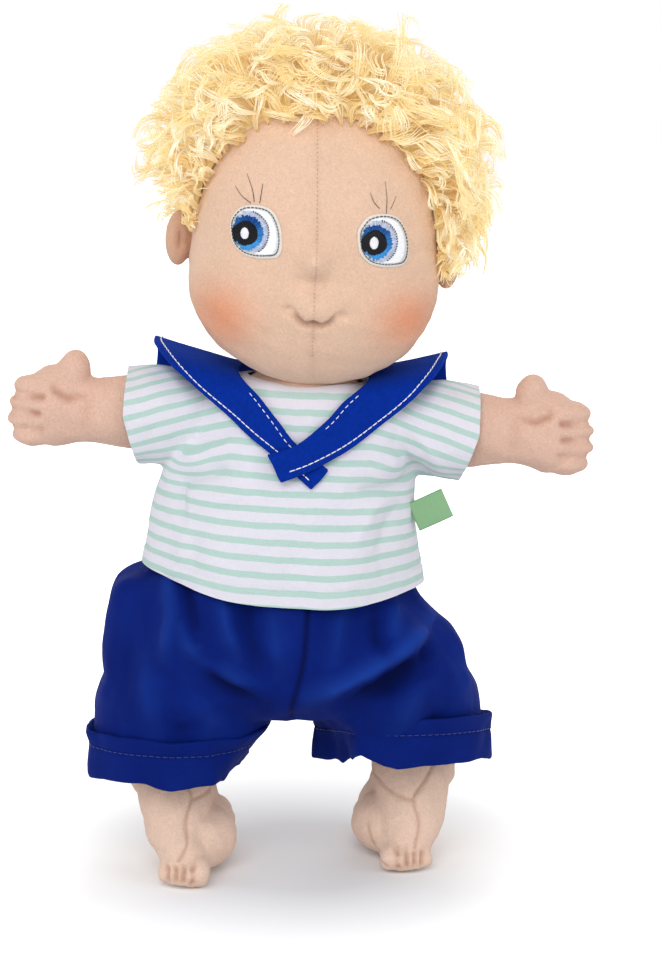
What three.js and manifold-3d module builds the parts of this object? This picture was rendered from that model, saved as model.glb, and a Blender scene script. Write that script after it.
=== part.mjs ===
// A dressed cloth doll: stuffed head, torso, arms and legs, a curly wig, embroidered eyes,
// a striped smock with a sailor collar, and shorts with turned-up cuffs.
// Millimetres, +Z up, the doll faces -Y and stands on its soles at Z = 0.
// Left and right are the doll's own, so its left side is at +X.
import * as THREE from "three";
import { mergeVertices } from "three/addons/utils/BufferGeometryUtils.js";
import Module from "manifold-3d";

const wasm = await Module();
wasm.setup();

// Shared clearances and walls
const gap = 0.3; // air between neighbouring pieces
const skinWall = 2; // velour skin with its pile and seam allowance
const clothWall = 1.2; // shirt and shorts cloth with its folded hems
const feltWall = 1.4; // sailor collar felt
const soleTrim = 0.5; // how far the soles are flattened by standing
const cutReach = 400; // size of the boxes that only trim

// Where the doll stands over the origin, which lies under the middle of its whole box
const standAside = -1;
const standAhead = -4.5;

// Where the body stands and how it leans
const hipHeight = 74;
const hipSpacing = 54;
const hipBack = 2;
const bodyShift = -4;
const bodyLean = THREE.MathUtils.degToRad(3);

// Joint ranges that the cut-outs leave room for, in degrees
const hipSwingForward = 85;
const hipSwingBack = 15;
const armRaise = 25;
const armLower = 50;
const sweepStep = 25;

// Torso
const torsoWidth = 84;
const torsoDepth = 66;
const neckPivotHeight = 116;
const neckShift = 1;
const neckBallRadius = 17;
const neckStemRadius = 13;
const neckStemLength = 22;
const pelletBagTop = 30;

// Head
const headWidth = 92.5;
const headDepth = 86;
const headAbove = 70; // from the widest level up to the crown
const headBelow = 43; // from the widest level down to the chin
const headRise = 40; // widest level above the neck pivot
const headForward = 2;
const headRoll = THREE.MathUtils.degToRad(1.2);
const headYaw = THREE.MathUtils.degToRad(1.5);
const headSquareness = 2.25;
const headColumns = 22;
const headRows = 14;
const noseRadius = 6;
const noseReach = 3.5;
const noseHeight = 45;

// Eyes, on the front of the head
const eyeSpacing = 43.8;
const eyeHeight = 53.2;
const eyeWidth = 18.6;
const eyeTall = 19.4;
const eyeLayer = 0.8;
const irisRadius = 6;
const irisShift = -2.7; // both eyes look to the doll's right
const pupilRadius = 4.3;
const pupilShift = -3.4;

// Ears
const earHeight = 44;
const earLength = 21;
const earWidth = 13;
const earThick = 5;

// Wig
const wigBackingWall = 1;
const wigClearance = 1.5;
const hairWidth = 128;
const hairDepth = 106;
const hairTall = 109;
const hairRise = 72; // middle of the pile above the neck pivot
const hairBack = 1.5;
const hairShift = -2; // the pile is fuller on the doll's right
const hairSquareness = 2.35;
const hairDetail = 8; // cuts of each edge of the ball that the pile starts from
const hairTufts = 64;
const tuftSpread = 0.17; // radians
const tuftStray = 0.16; // radians
const tuftRise = 6.5;
const tuftSink = 2.4; // how far the pile dips between the tufts
const hairlineRise = 57;
const hairlineHalf = 50;
const hairlineBase = 40;
const napeHeight = 26;
const templeHeight = 46;

// Arms and hands, along local X from the shoulder pivot
const shoulderHeight = 97;
const shoulderHalf = 42;
const armRootRadius = 16;
const wristRadius = 13;
const wristReach = 36;
const palmReach = 50;
const palmLong = 15;
const palmTall = 16;
const palmThick = 11;
const fingerRadius = 5.4;
const fingerReach = 59;
const fingerSpan = 20;
const fingerDrop = 1;
const fingerCount = 4;
const thumbRadius = 6;
const thumbReach = 43;
const handForward = -3;
const stuffingHole = 4;

// Legs and feet
const thighRadius = 18;
const kneeRadius = 17.5;
const shinRadius = 17;
const ankleRadius = 15.5;
const kneeHeight = 47;
const ankleHeight = 22;
const heelRadius = 12.5;
const heelHeight = 11.5;
const footLength = 46;
const footBall = 9.5;
const toeRadius = 3.8;
const toeCount = 5;

// Shirt, in the leaning frame of the torso
const shirtHem = 36;
const hemDip = 3;
const hemSlope = 0.05;
const necklineHeight = 112;
const hemWidth = 105;
const hemDepth = 80;
const shirtFold = 0.8;
const sleeveLength = 22;
const sleeveTall = 37;
const sleeveDeep = 34;
const closureWidth = 12;
const closureWall = 0.8;
const closureTop = 106;

// Collar and label
const flapDrop = 46;
const labelLong = 14;
const labelTall = 12;
const labelWall = 0.8;
const labelHeight = 62;
const labelAhead = 12;
const seamInset = 12.5;
const labelTilt = THREE.MathUtils.degToRad(-25);

// Shorts
const waistHeight = 124;
const waistWidth = 90.4;
const waistDepth = 70;
const elasticTall = 6;
const elasticWall = 0.8;
const legOpeningWidth = 65;
const legOpeningDepth = 62;
const shortsFold = 1.6;
const waistGather = 0.5;
const cuffTall = 16;
const cuffLap = 6;

const velour = cloth(0xe3bfa4, 0.95);
const stuffing = cloth(0xf4f1ea, 1);
const blond = cloth(0xeed28d, 0.6);
const striped = cloth(0xd9ece4, 0.9);
const felt = cloth(0x0a3fae, 0.95);
const navy = cloth(0x0b2a86, 0.85);
const thread = (colour) => cloth(colour, 0.6);

function cloth(color, roughness) {
  return new THREE.MeshStandardMaterial({ color, roughness, metalness: 0 });
}

const v3 = (x, y, z) => new THREE.Vector3(x, y, z);

// Turns a closed geometry into a solid, whichever way its faces were wound.
function solid(geometry, matrix) {
  const bare = geometry.clone();
  bare.deleteAttribute("normal");
  bare.deleteAttribute("uv");
  if (matrix) bare.applyMatrix4(matrix);
  const merged = mergeVertices(bare, 1e-4);
  const position = merged.attributes.position.array;
  const index = new Uint32Array(merged.index.array);
  if (signedVolume(position, index) < 0) index.reverse();
  return new wasm.Manifold(
    new wasm.Mesh({ numProp: 3, vertProperties: position, triVerts: index }),
  );
}

function signedVolume(position, index) {
  let sum = 0;
  const p = [v3(), v3(), v3()];
  for (let i = 0; i < index.length; i += 3) {
    p.forEach((v, k) => v.fromArray(position, 3 * index[i + k]));
    sum += p[0].dot(p[1].cross(p[2]));
  }
  return sum / 6;
}

function geometryOf(made) {
  const mesh = made.getMesh();
  return new THREE.BufferGeometry()
    .setAttribute("position", new THREE.BufferAttribute(mesh.vertProperties, 3))
    .setIndex(new THREE.BufferAttribute(mesh.triVerts, 1));
}

function piece(name, made, material) {
  const mesh = new THREE.Mesh(geometryOf(made), material);
  mesh.name = name;
  return mesh;
}

// A closed solid through rings that all have the same number of points.
function loft(rings) {
  const count = rings[0].length;
  const points = rings.flat();
  const faces = [];
  for (let i = 0; i + 1 < rings.length; i++)
    for (let j = 0; j < count; j++) {
      const a = i * count + j;
      const b = i * count + ((j + 1) % count);
      faces.push(a, b, b + count, a, b + count, a + count);
    }
  [0, rings.length - 1].forEach((i) => {
    const centre = rings[i].reduce((sum, p) => sum.add(p), v3()).divideScalar(count);
    const middle = points.push(centre) - 1;
    for (let j = 0; j < count; j++) {
      const a = i * count + j;
      const b = i * count + ((j + 1) % count);
      faces.push(...(i ? [middle, a, b] : [middle, b, a]));
    }
  });
  return solid(indexed(points, faces));
}

// A shell between matching outer and inner rings, open at both ends.
function sleeveShell(outer, inner) {
  const count = outer[0].length;
  const loop = [...outer, ...[...inner].reverse()];
  const faces = [];
  loop.forEach((_, i) => {
    const next = ((i + 1) % loop.length) * count;
    for (let j = 0; j < count; j++) {
      const k = (j + 1) % count;
      faces.push(i * count + j, i * count + k, next + k);
      faces.push(i * count + j, next + k, next + j);
    }
  });
  return solid(indexed(loop.flat(), faces));
}

// A sheet of even thickness over a grid of points.
function sheet(grid, thickness) {
  const rows = grid.length;
  const columns = grid[0].length;
  const at = (i, j) =>
    grid[Math.min(Math.max(i, 0), rows - 1)][Math.min(Math.max(j, 0), columns - 1)];
  const layers = [1, -1].map((way) =>
    grid.map((row, i) =>
      row.map((p, j) => {
        const along = at(i + 1, j).clone().sub(at(i - 1, j));
        const across = at(i, j + 1).clone().sub(at(i, j - 1));
        const normal = along.cross(across).normalize();
        return p.clone().addScaledVector(normal, (way * thickness) / 2);
      }),
    ),
  );
  const loops = [];
  for (let i = 0; i < rows; i++)
    loops.push([...layers[0][i], ...[...layers[1][i]].reverse()]);
  return loft(loops);
}

function indexed(points, faces) {
  return new THREE.BufferGeometry()
    .setAttribute(
      "position",
      new THREE.Float32BufferAttribute(points.flatMap((p) => [p.x, p.y, p.z]), 3),
    )
    .setIndex(faces);
}

function ellipsoid(centre, radii, columns = 16, rows = 10) {
  const ball = new THREE.SphereGeometry(1, columns, rows).rotateX(Math.PI / 2);
  ball.scale(radii.x, radii.y, radii.z).translate(centre.x, centre.y, centre.z);
  return ball;
}

function ballAt(centre, radius, columns = 16, rows = 10) {
  return ellipsoid(centre, v3(radius, radius, radius), columns, rows);
}

// A faceted ball whose flats, not only its corners, clear the radius.
function roomyBall(centre, radius) {
  const around = 12;
  const spare = Math.cos(Math.PI / around) ** 2;
  return ballAt(centre, radius / spare, around, around / 2);
}

// A ring about a level: an ellipse with an optional ripple of folds, that may slope to the
// back and tilt to the side.
function levelRing(level, segments, shrink = 0, ripple = null) {
  const { z, rx, ry, cx = 0, cy = 0, slope = 0, tilt = 0 } = level;
  return Array.from({ length: segments }, (_, i) => {
    const angle = (i / segments) * 2 * Math.PI;
    const fold = ripple ? ripple(angle, z) : 0;
    const grow = fold - shrink;
    const x = (rx + grow) * Math.cos(angle);
    const y = (ry + grow) * Math.sin(angle);
    return v3(cx + x, cy + y, z + tilt * x + slope * y);
  });
}

// Holds a station inside its two ends, moved in by the wall.
const within = (value, [low, high], wall) =>
  THREE.MathUtils.clamp(value, low + wall, high - wall);

const union = (solids) => solids.reduce((sum, s) => sum.add(s));
const cut = (made, cutters) => cutters.reduce((left, s) => left.subtract(s), made);

// The part of a solid on one side of a plane: axis 0, 1 or 2, kept above or below a level.
function keep(made, axis, level, side) {
  const centre = [0, 0, 0];
  centre[axis] = level - (side * cutReach) / 2;
  const box = new THREE.BoxGeometry(cutReach, cutReach, cutReach);
  return made.subtract(solid(box.translate(...centre)));
}

// Frames: the upper body leans over the hips, and the head turns and tips on the neck
const upperFrame = new THREE.Matrix4()
  .makeRotationY(bodyLean)
  .setPosition(bodyShift, 0, hipHeight);
const worldToUpper = upperFrame.clone().invert();

// Legs first, because the torso leaves room for their swing
const legPlan = {
  left: { side: 1, kneeX: 44, kneeY: 12, ankleX: 40, heelX: 34, heelY: 32, toeOut: 9 },
  right: { side: -1, kneeX: -49, kneeY: 3, ankleX: -45, heelX: -37, heelY: 14, toeOut: 8 },
};
const shinHeight = ankleHeight + 7;
const heelBehind = 8; // how far the heel bulges behind the ankle
const hipOf = ({ side }) => v3(bodyShift + (side * hipSpacing) / 2, hipBack, hipHeight);

function legRings(plan, segments, shrink) {
  const hip = hipOf(plan);
  const stations = [
    { z: hip.z, x: hip.x, y: hip.y, r: thighRadius },
    { z: kneeHeight, x: plan.kneeX, y: plan.kneeY, r: kneeRadius },
    { z: shinHeight, x: plan.kneeX, y: plan.kneeY, r: shinRadius },
    { z: ankleHeight, x: plan.ankleX, y: plan.heelY - heelBehind, r: ankleRadius },
    { z: heelHeight, x: plan.heelX, y: plan.heelY - heelBehind / 2, r: heelRadius },
  ];
  return stations.map(({ z, x, y, r }) =>
    levelRing({ z, cx: x, cy: y, rx: r, ry: r }, segments, shrink),
  );
}

// The sole's line from the heel to the ball of the toes, turned out by a few degrees
function footLine(plan) {
  const turn = THREE.MathUtils.degToRad(plan.toeOut);
  const ahead = v3(plan.side * Math.sin(turn), -Math.cos(turn), 0);
  return { heel: v3(plan.heelX, plan.heelY, 0), ahead, across: v3(-ahead.y, ahead.x, 0) };
}

function footRings(plan, segments, shrink) {
  const { heel, ahead, across } = footLine(plan);
  const stations = [
    { t: -0.28, w: 7, h: 8 },
    { t: -0.17, w: 11, h: 11.5 },
    { t: 0.1, w: 12.5, h: 13.5 },
    { t: 0.4, w: 12.5, h: 13 },
    { t: 0.75, w: 11.5, h: 9.5 },
    { t: 0.95, w: 10, h: 6.8 },
    { t: 1.05, w: 7.5, h: 5 },
  ];
  const ends = [stations[0], stations.at(-1)].map(({ t }) => t * footLength);
  const flatBelow = Math.cos(Math.PI / segments); // the lowest facet, not a corner, meets the floor
  return stations.map(({ t, w, h }) =>
    Array.from({ length: segments }, (_, i) => {
      const angle = ((i + 0.5) / segments) * 2 * Math.PI;
      return heel
        .clone()
        .addScaledVector(ahead, within(t * footLength, ends, shrink))
        .addScaledVector(across, (w - shrink) * Math.cos(angle))
        .add(v3(0, 0, h - soleTrim + ((h - shrink) / flatBelow) * Math.sin(angle)));
    }),
  );
}

function toes(plan) {
  const { heel, ahead, across } = footLine(plan);
  return Array.from({ length: toeCount }, (_, i) => {
    const spread = i / (toeCount - 1) - 0.5;
    const big = plan.side * spread < 0 ? 1 + 0.5 * Math.abs(spread) : 1 - 0.3 * Math.abs(spread);
    const radius = toeRadius * big;
    const centre = heel
      .clone()
      .addScaledVector(ahead, footLength * (1.06 - 0.2 * spread * spread))
      .addScaledVector(across, spread * 2 * (footBall - toeRadius * 0.8))
      .add(v3(0, 0, radius + 0.8));
    return solid(ballAt(centre, radius, 7, 4));
  });
}

function legBody(plan, segments, shrink) {
  return union([
    solid(ballAt(hipOf(plan), thighRadius - shrink, segments, Math.round(segments * 0.6))),
    loft(legRings(plan, segments, shrink)),
    loft(footRings(plan, segments, shrink)),
  ]);
}

const legs = {};
for (const [name, plan] of Object.entries(legPlan)) {
  const outer = keep(union([legBody(plan, 12, 0), ...toes(plan)]), 2, 0, 1);
  const opening = new THREE.CylinderGeometry(stuffingHole, stuffingHole, 2 * thighRadius, 10)
    .rotateX(Math.PI / 2)
    .translate(...hipOf(plan).add(v3(0, 0, thighRadius)).toArray());
  legs[name] = {
    outer,
    skin: cut(outer, [keep(legBody(plan, 8, skinWall), 2, skinWall, 1), solid(opening)]),
    filling: keep(legBody(plan, 8, skinWall + gap), 2, skinWall + gap, 1),
  };
}

// The room that a limb sweeps: a hull over the joint's ball and the far ball at each step
function sweep(pivot, far, axis, from, to, rootRadius, farRadius) {
  const balls = [roomyBall(pivot, rootRadius)];
  for (let a = from; a < to + sweepStep; a += sweepStep) {
    const angle = THREE.MathUtils.degToRad(Math.min(a, to));
    const swung = far.clone().sub(pivot).applyAxisAngle(axis, angle).add(pivot);
    balls.push(roomyBall(swung, farRadius));
  }
  return wasm.Manifold.hull(balls.map((ball) => solid(ball)));
}

function hipSweep(plan, grow) {
  const swing = sweep(
    hipOf(plan),
    v3(plan.kneeX, plan.kneeY, kneeHeight),
    v3(-1, 0, 0),
    -hipSwingBack,
    hipSwingForward,
    thighRadius + grow,
    kneeRadius + grow,
  );
  return solid(geometryOf(swing), worldToUpper);
}

// Arms, modelled from the shoulder pivot along local X and mirrored by side
const armSides = { left: 1, right: -1 };
const shoulderOf = (side) => v3(side * shoulderHalf, 0, shoulderHeight);

function armRings(side, segments, shrink) {
  const stations = [
    { x: 0, r: armRootRadius },
    { x: wristReach * 0.45, r: armRootRadius - 0.7 },
    { x: wristReach, r: wristRadius },
    { x: palmReach, r: wristRadius * 0.9 },
  ];
  return stations.map(({ x, r }) =>
    Array.from({ length: segments }, (_, i) => {
      const angle = (i / segments) * 2 * Math.PI;
      const reach = r - shrink;
      const forward = (handForward * x) / palmReach;
      return v3(side * x, forward + reach * 0.92 * Math.cos(angle), reach * Math.sin(angle));
    }),
  );
}

function armBody(side, segments, shrink) {
  const rows = Math.round(segments * 0.6);
  return union([
    solid(ballAt(v3(0, 0, 0), armRootRadius - shrink, segments, rows)),
    loft(armRings(side, segments, shrink)),
    solid(
      ellipsoid(
        v3(side * palmReach, handForward, 1),
        v3(palmLong - shrink, palmThick - shrink, palmTall - shrink),
        segments,
        rows,
      ),
    ),
  ]);
}

function fingers(side) {
  const made = Array.from({ length: fingerCount }, (_, i) => {
    const share = i / (fingerCount - 1) - 0.5;
    const centre = v3(
      side * (fingerReach - 9 * share * share),
      handForward,
      -share * fingerSpan - fingerDrop,
    );
    return solid(ellipsoid(centre, v3(8.5, fingerRadius + 2, fingerRadius), 7, 5));
  });
  const thumb = ellipsoid(
    v3(side * thumbReach, handForward - 1, 13),
    v3(thumbRadius, thumbRadius, thumbRadius + 4),
    10,
    6,
  );
  return [...made, solid(thumb)];
}

const arms = {};
for (const [name, side] of Object.entries(armSides)) {
  const outer = union([armBody(side, 10, 0), ...fingers(side)]);
  const opening = new THREE.CylinderGeometry(stuffingHole, stuffingHole, armRootRadius, 10)
    .rotateZ(Math.PI / 2)
    .translate(-side * armRootRadius, 0, 0);
  arms[name] = {
    outer,
    skin: cut(outer, [armBody(side, 8, skinWall), solid(opening)]),
    filling: armBody(side, 8, skinWall + gap),
  };
}

// The room that an arm takes at rest, or sweeps between lowered and raised
function armSweep(side, grow, lower = armLower, raise = armRaise) {
  const shoulder = shoulderOf(side);
  return sweep(
    shoulder,
    shoulder.clone().add(v3(side * wristReach, (handForward * wristReach) / palmReach, 0)),
    v3(0, -side, 0),
    -lower,
    raise,
    armRootRadius + grow,
    wristRadius + grow,
  );
}

// Torso, in the leaning frame
const torsoProfile = [
  { z: -9, w: 0.3, d: 0.25, cy: 5 },
  { z: -5, w: 0.58, d: 0.45, cy: 5 },
  { z: 4, w: 0.82, d: 0.66, cy: 4 },
  { z: 18, w: 0.98, d: 0.88, cy: 2 },
  { z: 32, w: 0.96, d: 0.98, cy: 0 },
  { z: 50, w: 0.9, d: 0.94, cy: 0 },
  { z: 70, w: 0.94, d: 0.9, cy: 0 },
  { z: 90, w: 0.96, d: 0.76, cy: 0 },
  { z: 101, w: 0.9, d: 0.66, cy: 0 },
  { z: 106, w: 0.76, d: 0.57, cy: 0 },
  { z: 109, w: 0.46, d: 0.45, cy: 0 },
];

function torsoBody(segments, shrink) {
  const inner = torsoProfile.filter((_, i) => !shrink || i % 2 === 0);
  const ends = [torsoProfile[0].z, torsoProfile.at(-1).z];
  const rings = inner.map(({ z, w, d, cy }) =>
    levelRing(
      { z: within(z, ends, shrink), rx: (w * torsoWidth) / 2, ry: (d * torsoDepth) / 2, cy },
      segments,
      shrink,
    ),
  );
  return loft(rings);
}

const neckPivot = v3(neckShift, 0, neckPivotHeight);
const limbSweeps = (grow) => [
  hipSweep(legPlan.left, grow),
  hipSweep(legPlan.right, grow),
  armSweep(armSides.left, grow),
  armSweep(armSides.right, grow),
];
const neckSolid = (grow) =>
  union([
    solid(ballAt(neckPivot, neckBallRadius + grow, 18, 10)),
    solid(
      new THREE.CylinderGeometry(
        neckStemRadius + grow,
        neckStemRadius + grow,
        neckStemLength + grow,
        18,
      )
        .rotateX(Math.PI / 2)
        .translate(neckShift, 0, neckPivotHeight - (neckStemLength + grow) / 2),
    ),
  ]);
const torsoOuter = cut(torsoBody(20, 0), limbSweeps(gap));
const torsoHollow = cut(torsoBody(12, skinWall), limbSweeps(gap + skinWall));
const torsoSkin = cut(torsoOuter, [torsoHollow, neckSolid(gap)]);
const torsoStuffed = cut(torsoBody(12, skinWall + gap), [
  ...limbSweeps(skinWall + 2 * gap),
  neckSolid(gap),
]);
const torsoFilling = keep(torsoStuffed, 2, pelletBagTop + gap, 1);
const pelletBag = keep(torsoStuffed, 2, pelletBagTop, -1);

// Head, in its own frame with the origin at the neck pivot
const headFrame = new THREE.Matrix4()
  .makeRotationFromEuler(new THREE.Euler(0, headRoll, headYaw, "ZYX"))
  .setPosition(neckPivot);
const headCentre = v3(0, -headForward, headRise);

function headReach(direction, grow) {
  const height = direction.z > 0 ? headAbove : headBelow;
  const sum =
    Math.abs(direction.x / (headWidth / 2)) ** headSquareness +
    Math.abs(direction.y / (headDepth / 2)) ** headSquareness +
    Math.abs(direction.z / height) ** headSquareness;
  return sum ** (-1 / headSquareness) + grow;
}

function headShape(grow, columns = headColumns, rows = headRows) {
  const ball = new THREE.SphereGeometry(1, columns, rows).rotateX(Math.PI / 2);
  const position = ball.attributes.position;
  const point = v3();
  for (let i = 0; i < position.count; i++) {
    point.fromBufferAttribute(position, i).normalize();
    point.multiplyScalar(headReach(point, grow)).add(headCentre);
    position.setXYZ(i, point.x, point.y, point.z);
  }
  return solid(ball);
}

const headSocket = solid(roomyBall(v3(0, 0, 0), neckBallRadius + gap));
const noseCentre = v3(0, -headForward - headDepth / 2 - noseReach + noseRadius, noseHeight);
const headOuter = union([headShape(0), solid(ballAt(noseCentre, noseRadius, 12, 8))]);
const headSkin = cut(headOuter, [headShape(-skinWall, 14, 8), headSocket]);
const headFilling = cut(headShape(-skinWall - gap, 14, 8), [headSocket]);

// An eye layer: a flat outline pressed onto the front of the head
function onFace(outline, centreX, centreZ, from, thick) {
  const block = new THREE.ExtrudeGeometry(outline, {
    depth: headDepth,
    bevelEnabled: false,
    curveSegments: 8,
  })
    .rotateX(Math.PI / 2)
    .translate(centreX, 0, centreZ);
  return solid(block)
    .intersect(headShape(from + thick))
    .subtract(headShape(from));
}

// A round eye with a drawn-out lower corner on the doll's left
function eyeOutline() {
  const half = eyeWidth / 2;
  const tall = eyeTall / 2;
  const shape = new THREE.Shape();
  shape.moveTo(-half, 0);
  shape.bezierCurveTo(-half, tall * 0.7, -half * 0.5, tall, 0, tall);
  shape.bezierCurveTo(half * 0.6, tall, half, tall * 0.2, half, -tall * 0.6);
  shape.bezierCurveTo(half, -tall, half * 0.4, -tall, 0, -tall);
  shape.bezierCurveTo(-half * 0.6, -tall, -half, -tall * 0.6, -half, 0);
  return shape;
}

function disc(radius, x) {
  const shape = new THREE.Shape();
  shape.absarc(x, 0, radius, 0, 2 * Math.PI, false);
  return shape;
}

// Wig: a cloth backing on the skull and the curly pile on it, open over the face
function wigRegion(made) {
  const face = new THREE.CylinderGeometry(1, 1, headDepth, 28)
    .scale(hairlineHalf, 1, hairlineRise)
    .translate(headCentre.x, -headDepth / 2 - 6, hairlineBase);
  const below = new THREE.BoxGeometry(cutReach, cutReach, cutReach)
    .translate(0, 0, -cutReach / 2)
    .rotateX(-Math.atan2(templeHeight - napeHeight, headDepth / 2))
    .translate(0, 0, templeHeight);
  return cut(made, [solid(face), solid(below)]);
}

// Directions shared over a ball, one for each tuft of hair, each a little out of its even place
const tuftHeadings = Array.from({ length: hairTufts }, (_, i) => {
  const z = 1 - (2 * i + 1) / hairTufts;
  const angle = i * Math.PI * (3 - Math.sqrt(5)) + tuftStray * Math.sin(7 * i * i);
  const width = Math.sqrt(1 - z * z);
  const rise = z + tuftStray * Math.sin(5 * i * i);
  return v3(Math.cos(angle) * width, Math.sin(angle) * width, rise).normalize();
});

// The pile's outer shape: a squared ball with a soft tuft wherever locks bunch up
function hairShape(detail) {
  const ball = new THREE.IcosahedronGeometry(1, detail);
  const position = ball.attributes.position;
  const point = v3();
  for (let i = 0; i < position.count; i++) {
    point.fromBufferAttribute(position, i).normalize();
    const sum =
      Math.abs(point.x / (hairWidth / 2)) ** hairSquareness +
      Math.abs(point.y / (hairDepth / 2)) ** hairSquareness +
      Math.abs(point.z / (hairTall / 2)) ** hairSquareness;
    const nearest = Math.min(...tuftHeadings.map((heading) => heading.angleTo(point)));
    const tuft = tuftRise * Math.exp(-((nearest / tuftSpread) ** 2));
    point.multiplyScalar(sum ** (-1 / hairSquareness) + tuft - tuftSink);
    position.setXYZ(i, point.x + hairShift, point.y + hairBack, point.z + hairRise);
  }
  return solid(ball);
}

const backingShell = headShape(wigClearance + wigBackingWall, 20, 12).subtract(
  headShape(wigClearance, 20, 12),
);
const hairShell = hairShape(hairDetail).subtract(
  headShape(wigClearance + wigBackingWall + gap, 20, 12),
);

function ear(side) {
  const lobe = ellipsoid(
    v3((side * headWidth) / 2 + side, 4, earHeight),
    v3(earThick, earWidth / 2, earLength / 2),
    12,
    8,
  );
  return cut(solid(lobe), [
    headShape(gap),
    wigRegion(hairShape(hairDetail / 2)),
    wigRegion(headShape(wigClearance + wigBackingWall + gap, 20, 12)),
  ]);
}

// Shirt, in the leaning frame
const shirtProfile = [
  { z: shirtHem, rx: hemWidth / 2, ry: hemDepth / 2, cx: -5 },
  { z: 50, rx: 51, ry: 39.5, cx: -4.6 },
  { z: 65, rx: 48.5, ry: 36, cx: -4 },
  { z: 78, rx: 46.5, ry: 33, cx: -2.5 },
  { z: 90, rx: 45, ry: 29.5, cx: -1 },
  { z: 101, rx: 43.5, ry: 26.5, cx: 0 },
  { z: 107.5, rx: 40, ry: 24, cx: 0 },
  { z: 111, rx: 33, ry: 21.5, cx: 0 },
  { z: necklineHeight, rx: 25, ry: 19, cx: 0.5 },
];

function shirtRings(shrink) {
  return shirtProfile.map((level, i) => {
    const hang = 1 - i / (shirtProfile.length - 1);
    const ripple = (angle) =>
      shirtFold * hang * (Math.cos(7 * angle + 1) + 0.6 * Math.cos(4 * angle));
    return levelRing(level, 24, shrink, ripple).map((p) => {
      if (i > 0) return p;
      const front = Math.max(0, -p.y / level.ry);
      return v3(p.x, p.y, p.z - hemSlope * p.x - hemDip * front);
    });
  });
}

const shirtSolid = (grow) => loft(shirtRings(-grow));
const armRoom = Object.values(armSides).map((side) => armSweep(side, gap, 0, 0));
const shirtShell = cut(sleeveShell(shirtRings(0), shirtRings(clothWall)), armRoom);
const shirtFront = keep(shirtShell, 1, -gap / 2, -1);
const shirtBack = keep(shirtShell, 1, gap / 2, 1);
const shirtBackLeft = keep(shirtBack, 0, gap / 2, 1);
const shirtBackRight = keep(shirtBack, 0, -gap / 2, -1);
const closureBand = sleeveShell(
  shirtRings(clothWall + gap),
  shirtRings(clothWall + gap + closureWall),
);
const closureStrip = keep(
  keep(keep(closureBand, 1, 0, 1), 0, closureWidth / 2, -1),
  0,
  -closureWidth / 2,
  1,
);
const closureTape = keep(keep(closureStrip, 2, shirtHem + 6, 1), 2, closureTop, -1);

// Sleeves hang on the arms, cut to the side of the shirt
function sleeve(side, armOuter) {
  const stations = [
    { x: -14, tall: sleeveTall * 0.8, deep: sleeveDeep * 0.9 },
    { x: 2, tall: sleeveTall, deep: sleeveDeep },
    { x: sleeveLength * 0.6, tall: sleeveTall * 1.02, deep: sleeveDeep * 1.02 },
    { x: sleeveLength, tall: sleeveTall, deep: sleeveDeep },
  ];
  const rings = (shrink) =>
    stations.map(({ x, tall, deep }) =>
      Array.from({ length: 15 }, (_, i) => {
        const angle = (i / 15) * 2 * Math.PI;
        const fold = 0.7 * Math.cos(5 * angle);
        return shoulderOf(side).add(
          v3(
            side * (x - 2 * Math.sin(angle) * (x > 2 ? -1 : 0)),
            (deep / 2 + fold - shrink) * Math.cos(angle),
            (tall / 2 + fold - shrink) * Math.sin(angle),
          ),
        );
      }),
    );
  const shell = sleeveShell(rings(0), rings(clothWall));
  const placed = solid(
    geometryOf(armOuter).translate(...shoulderOf(side).toArray()),
  );
  return cut(shell, [shirtSolid(gap), placed]);
}

// Sailor collar: one felt sheet, from the right front tail over both shoulders and the square
// back flap to the left front tail, which crosses over the right one. Each row runs from the
// inner edge to the outer edge.
const flapBottom = neckPivotHeight + 8 - flapDrop;
const collarRest = necklineHeight + 1; // the inner edge lies on the shirt's neckline
const collarRows = [
  [v3(11.3, -40, 86), v3(4.6, -40, 78)],
  [v3(-1.5, -38.8, 94.4), v3(-8.5, -38.8, 89.5)],
  [v3(-9.5, -35.2, 103), v3(-19, -35.8, 97)],
  [v3(-17, -28.2, 111), v3(-31, -30.2, 105.5)],
  [v3(-23, -16, collarRest), v3(-47.5, -18, 117)],
  [v3(-24, 0, collarRest), v3(-55.5, 2, 124)],
  [v3(-20, 15, collarRest), v3(-55.5, 20, 118)],
  [v3(-12, 21, collarRest), v3(-52, 42, flapBottom)],
  [v3(0, 22, collarRest), v3(0, 44, flapBottom)],
  [v3(12, 21, collarRest), v3(52, 42, flapBottom)],
  [v3(20, 15, collarRest), v3(53, 20, 118)],
  [v3(24, 0, collarRest), v3(52, 0, 124)],
  [v3(23, -16, collarRest), v3(46, -18, 116.5)],
  [v3(17, -28.2, 110.8), v3(36, -29.5, 107)],
  [v3(10, -35.4, 103), v3(22, -36.5, 96)],
  [v3(-1, -41.2, 94), v3(8, -41, 88.5)],
  [v3(-10.8, -42.2, 90.4), v3(-6, -42.2, 81.7)],
];

function collarGrid(rows) {
  return rows.map(([inner, outer], i) => {
    const middle = inner.clone().lerp(outer, 0.5);
    const back = outer.z === flapBottom || outer.x === 0;
    if (back) middle.y += 5; // the flap curves over the shoulders' back
    return [inner, middle, outer];
  });
}

const headRoom = solid(geometryOf(headShape(gap)), headFrame);
const collar = cut(sheet(collarGrid(collarRows), feltWall), [shirtSolid(gap), headRoom]);

// Woven label, folded into the left side seam, which runs a little inside the hem's width
const labelRoot = hemWidth / 2 - seamInset;
const label = cut(
  solid(
    new THREE.BoxGeometry(labelLong, labelWall, labelTall)
      .rotateY(labelTilt)
      .translate(labelRoot + labelLong / 2, -labelAhead, labelHeight),
  ),
  [shirtSolid(gap)],
);

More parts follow.
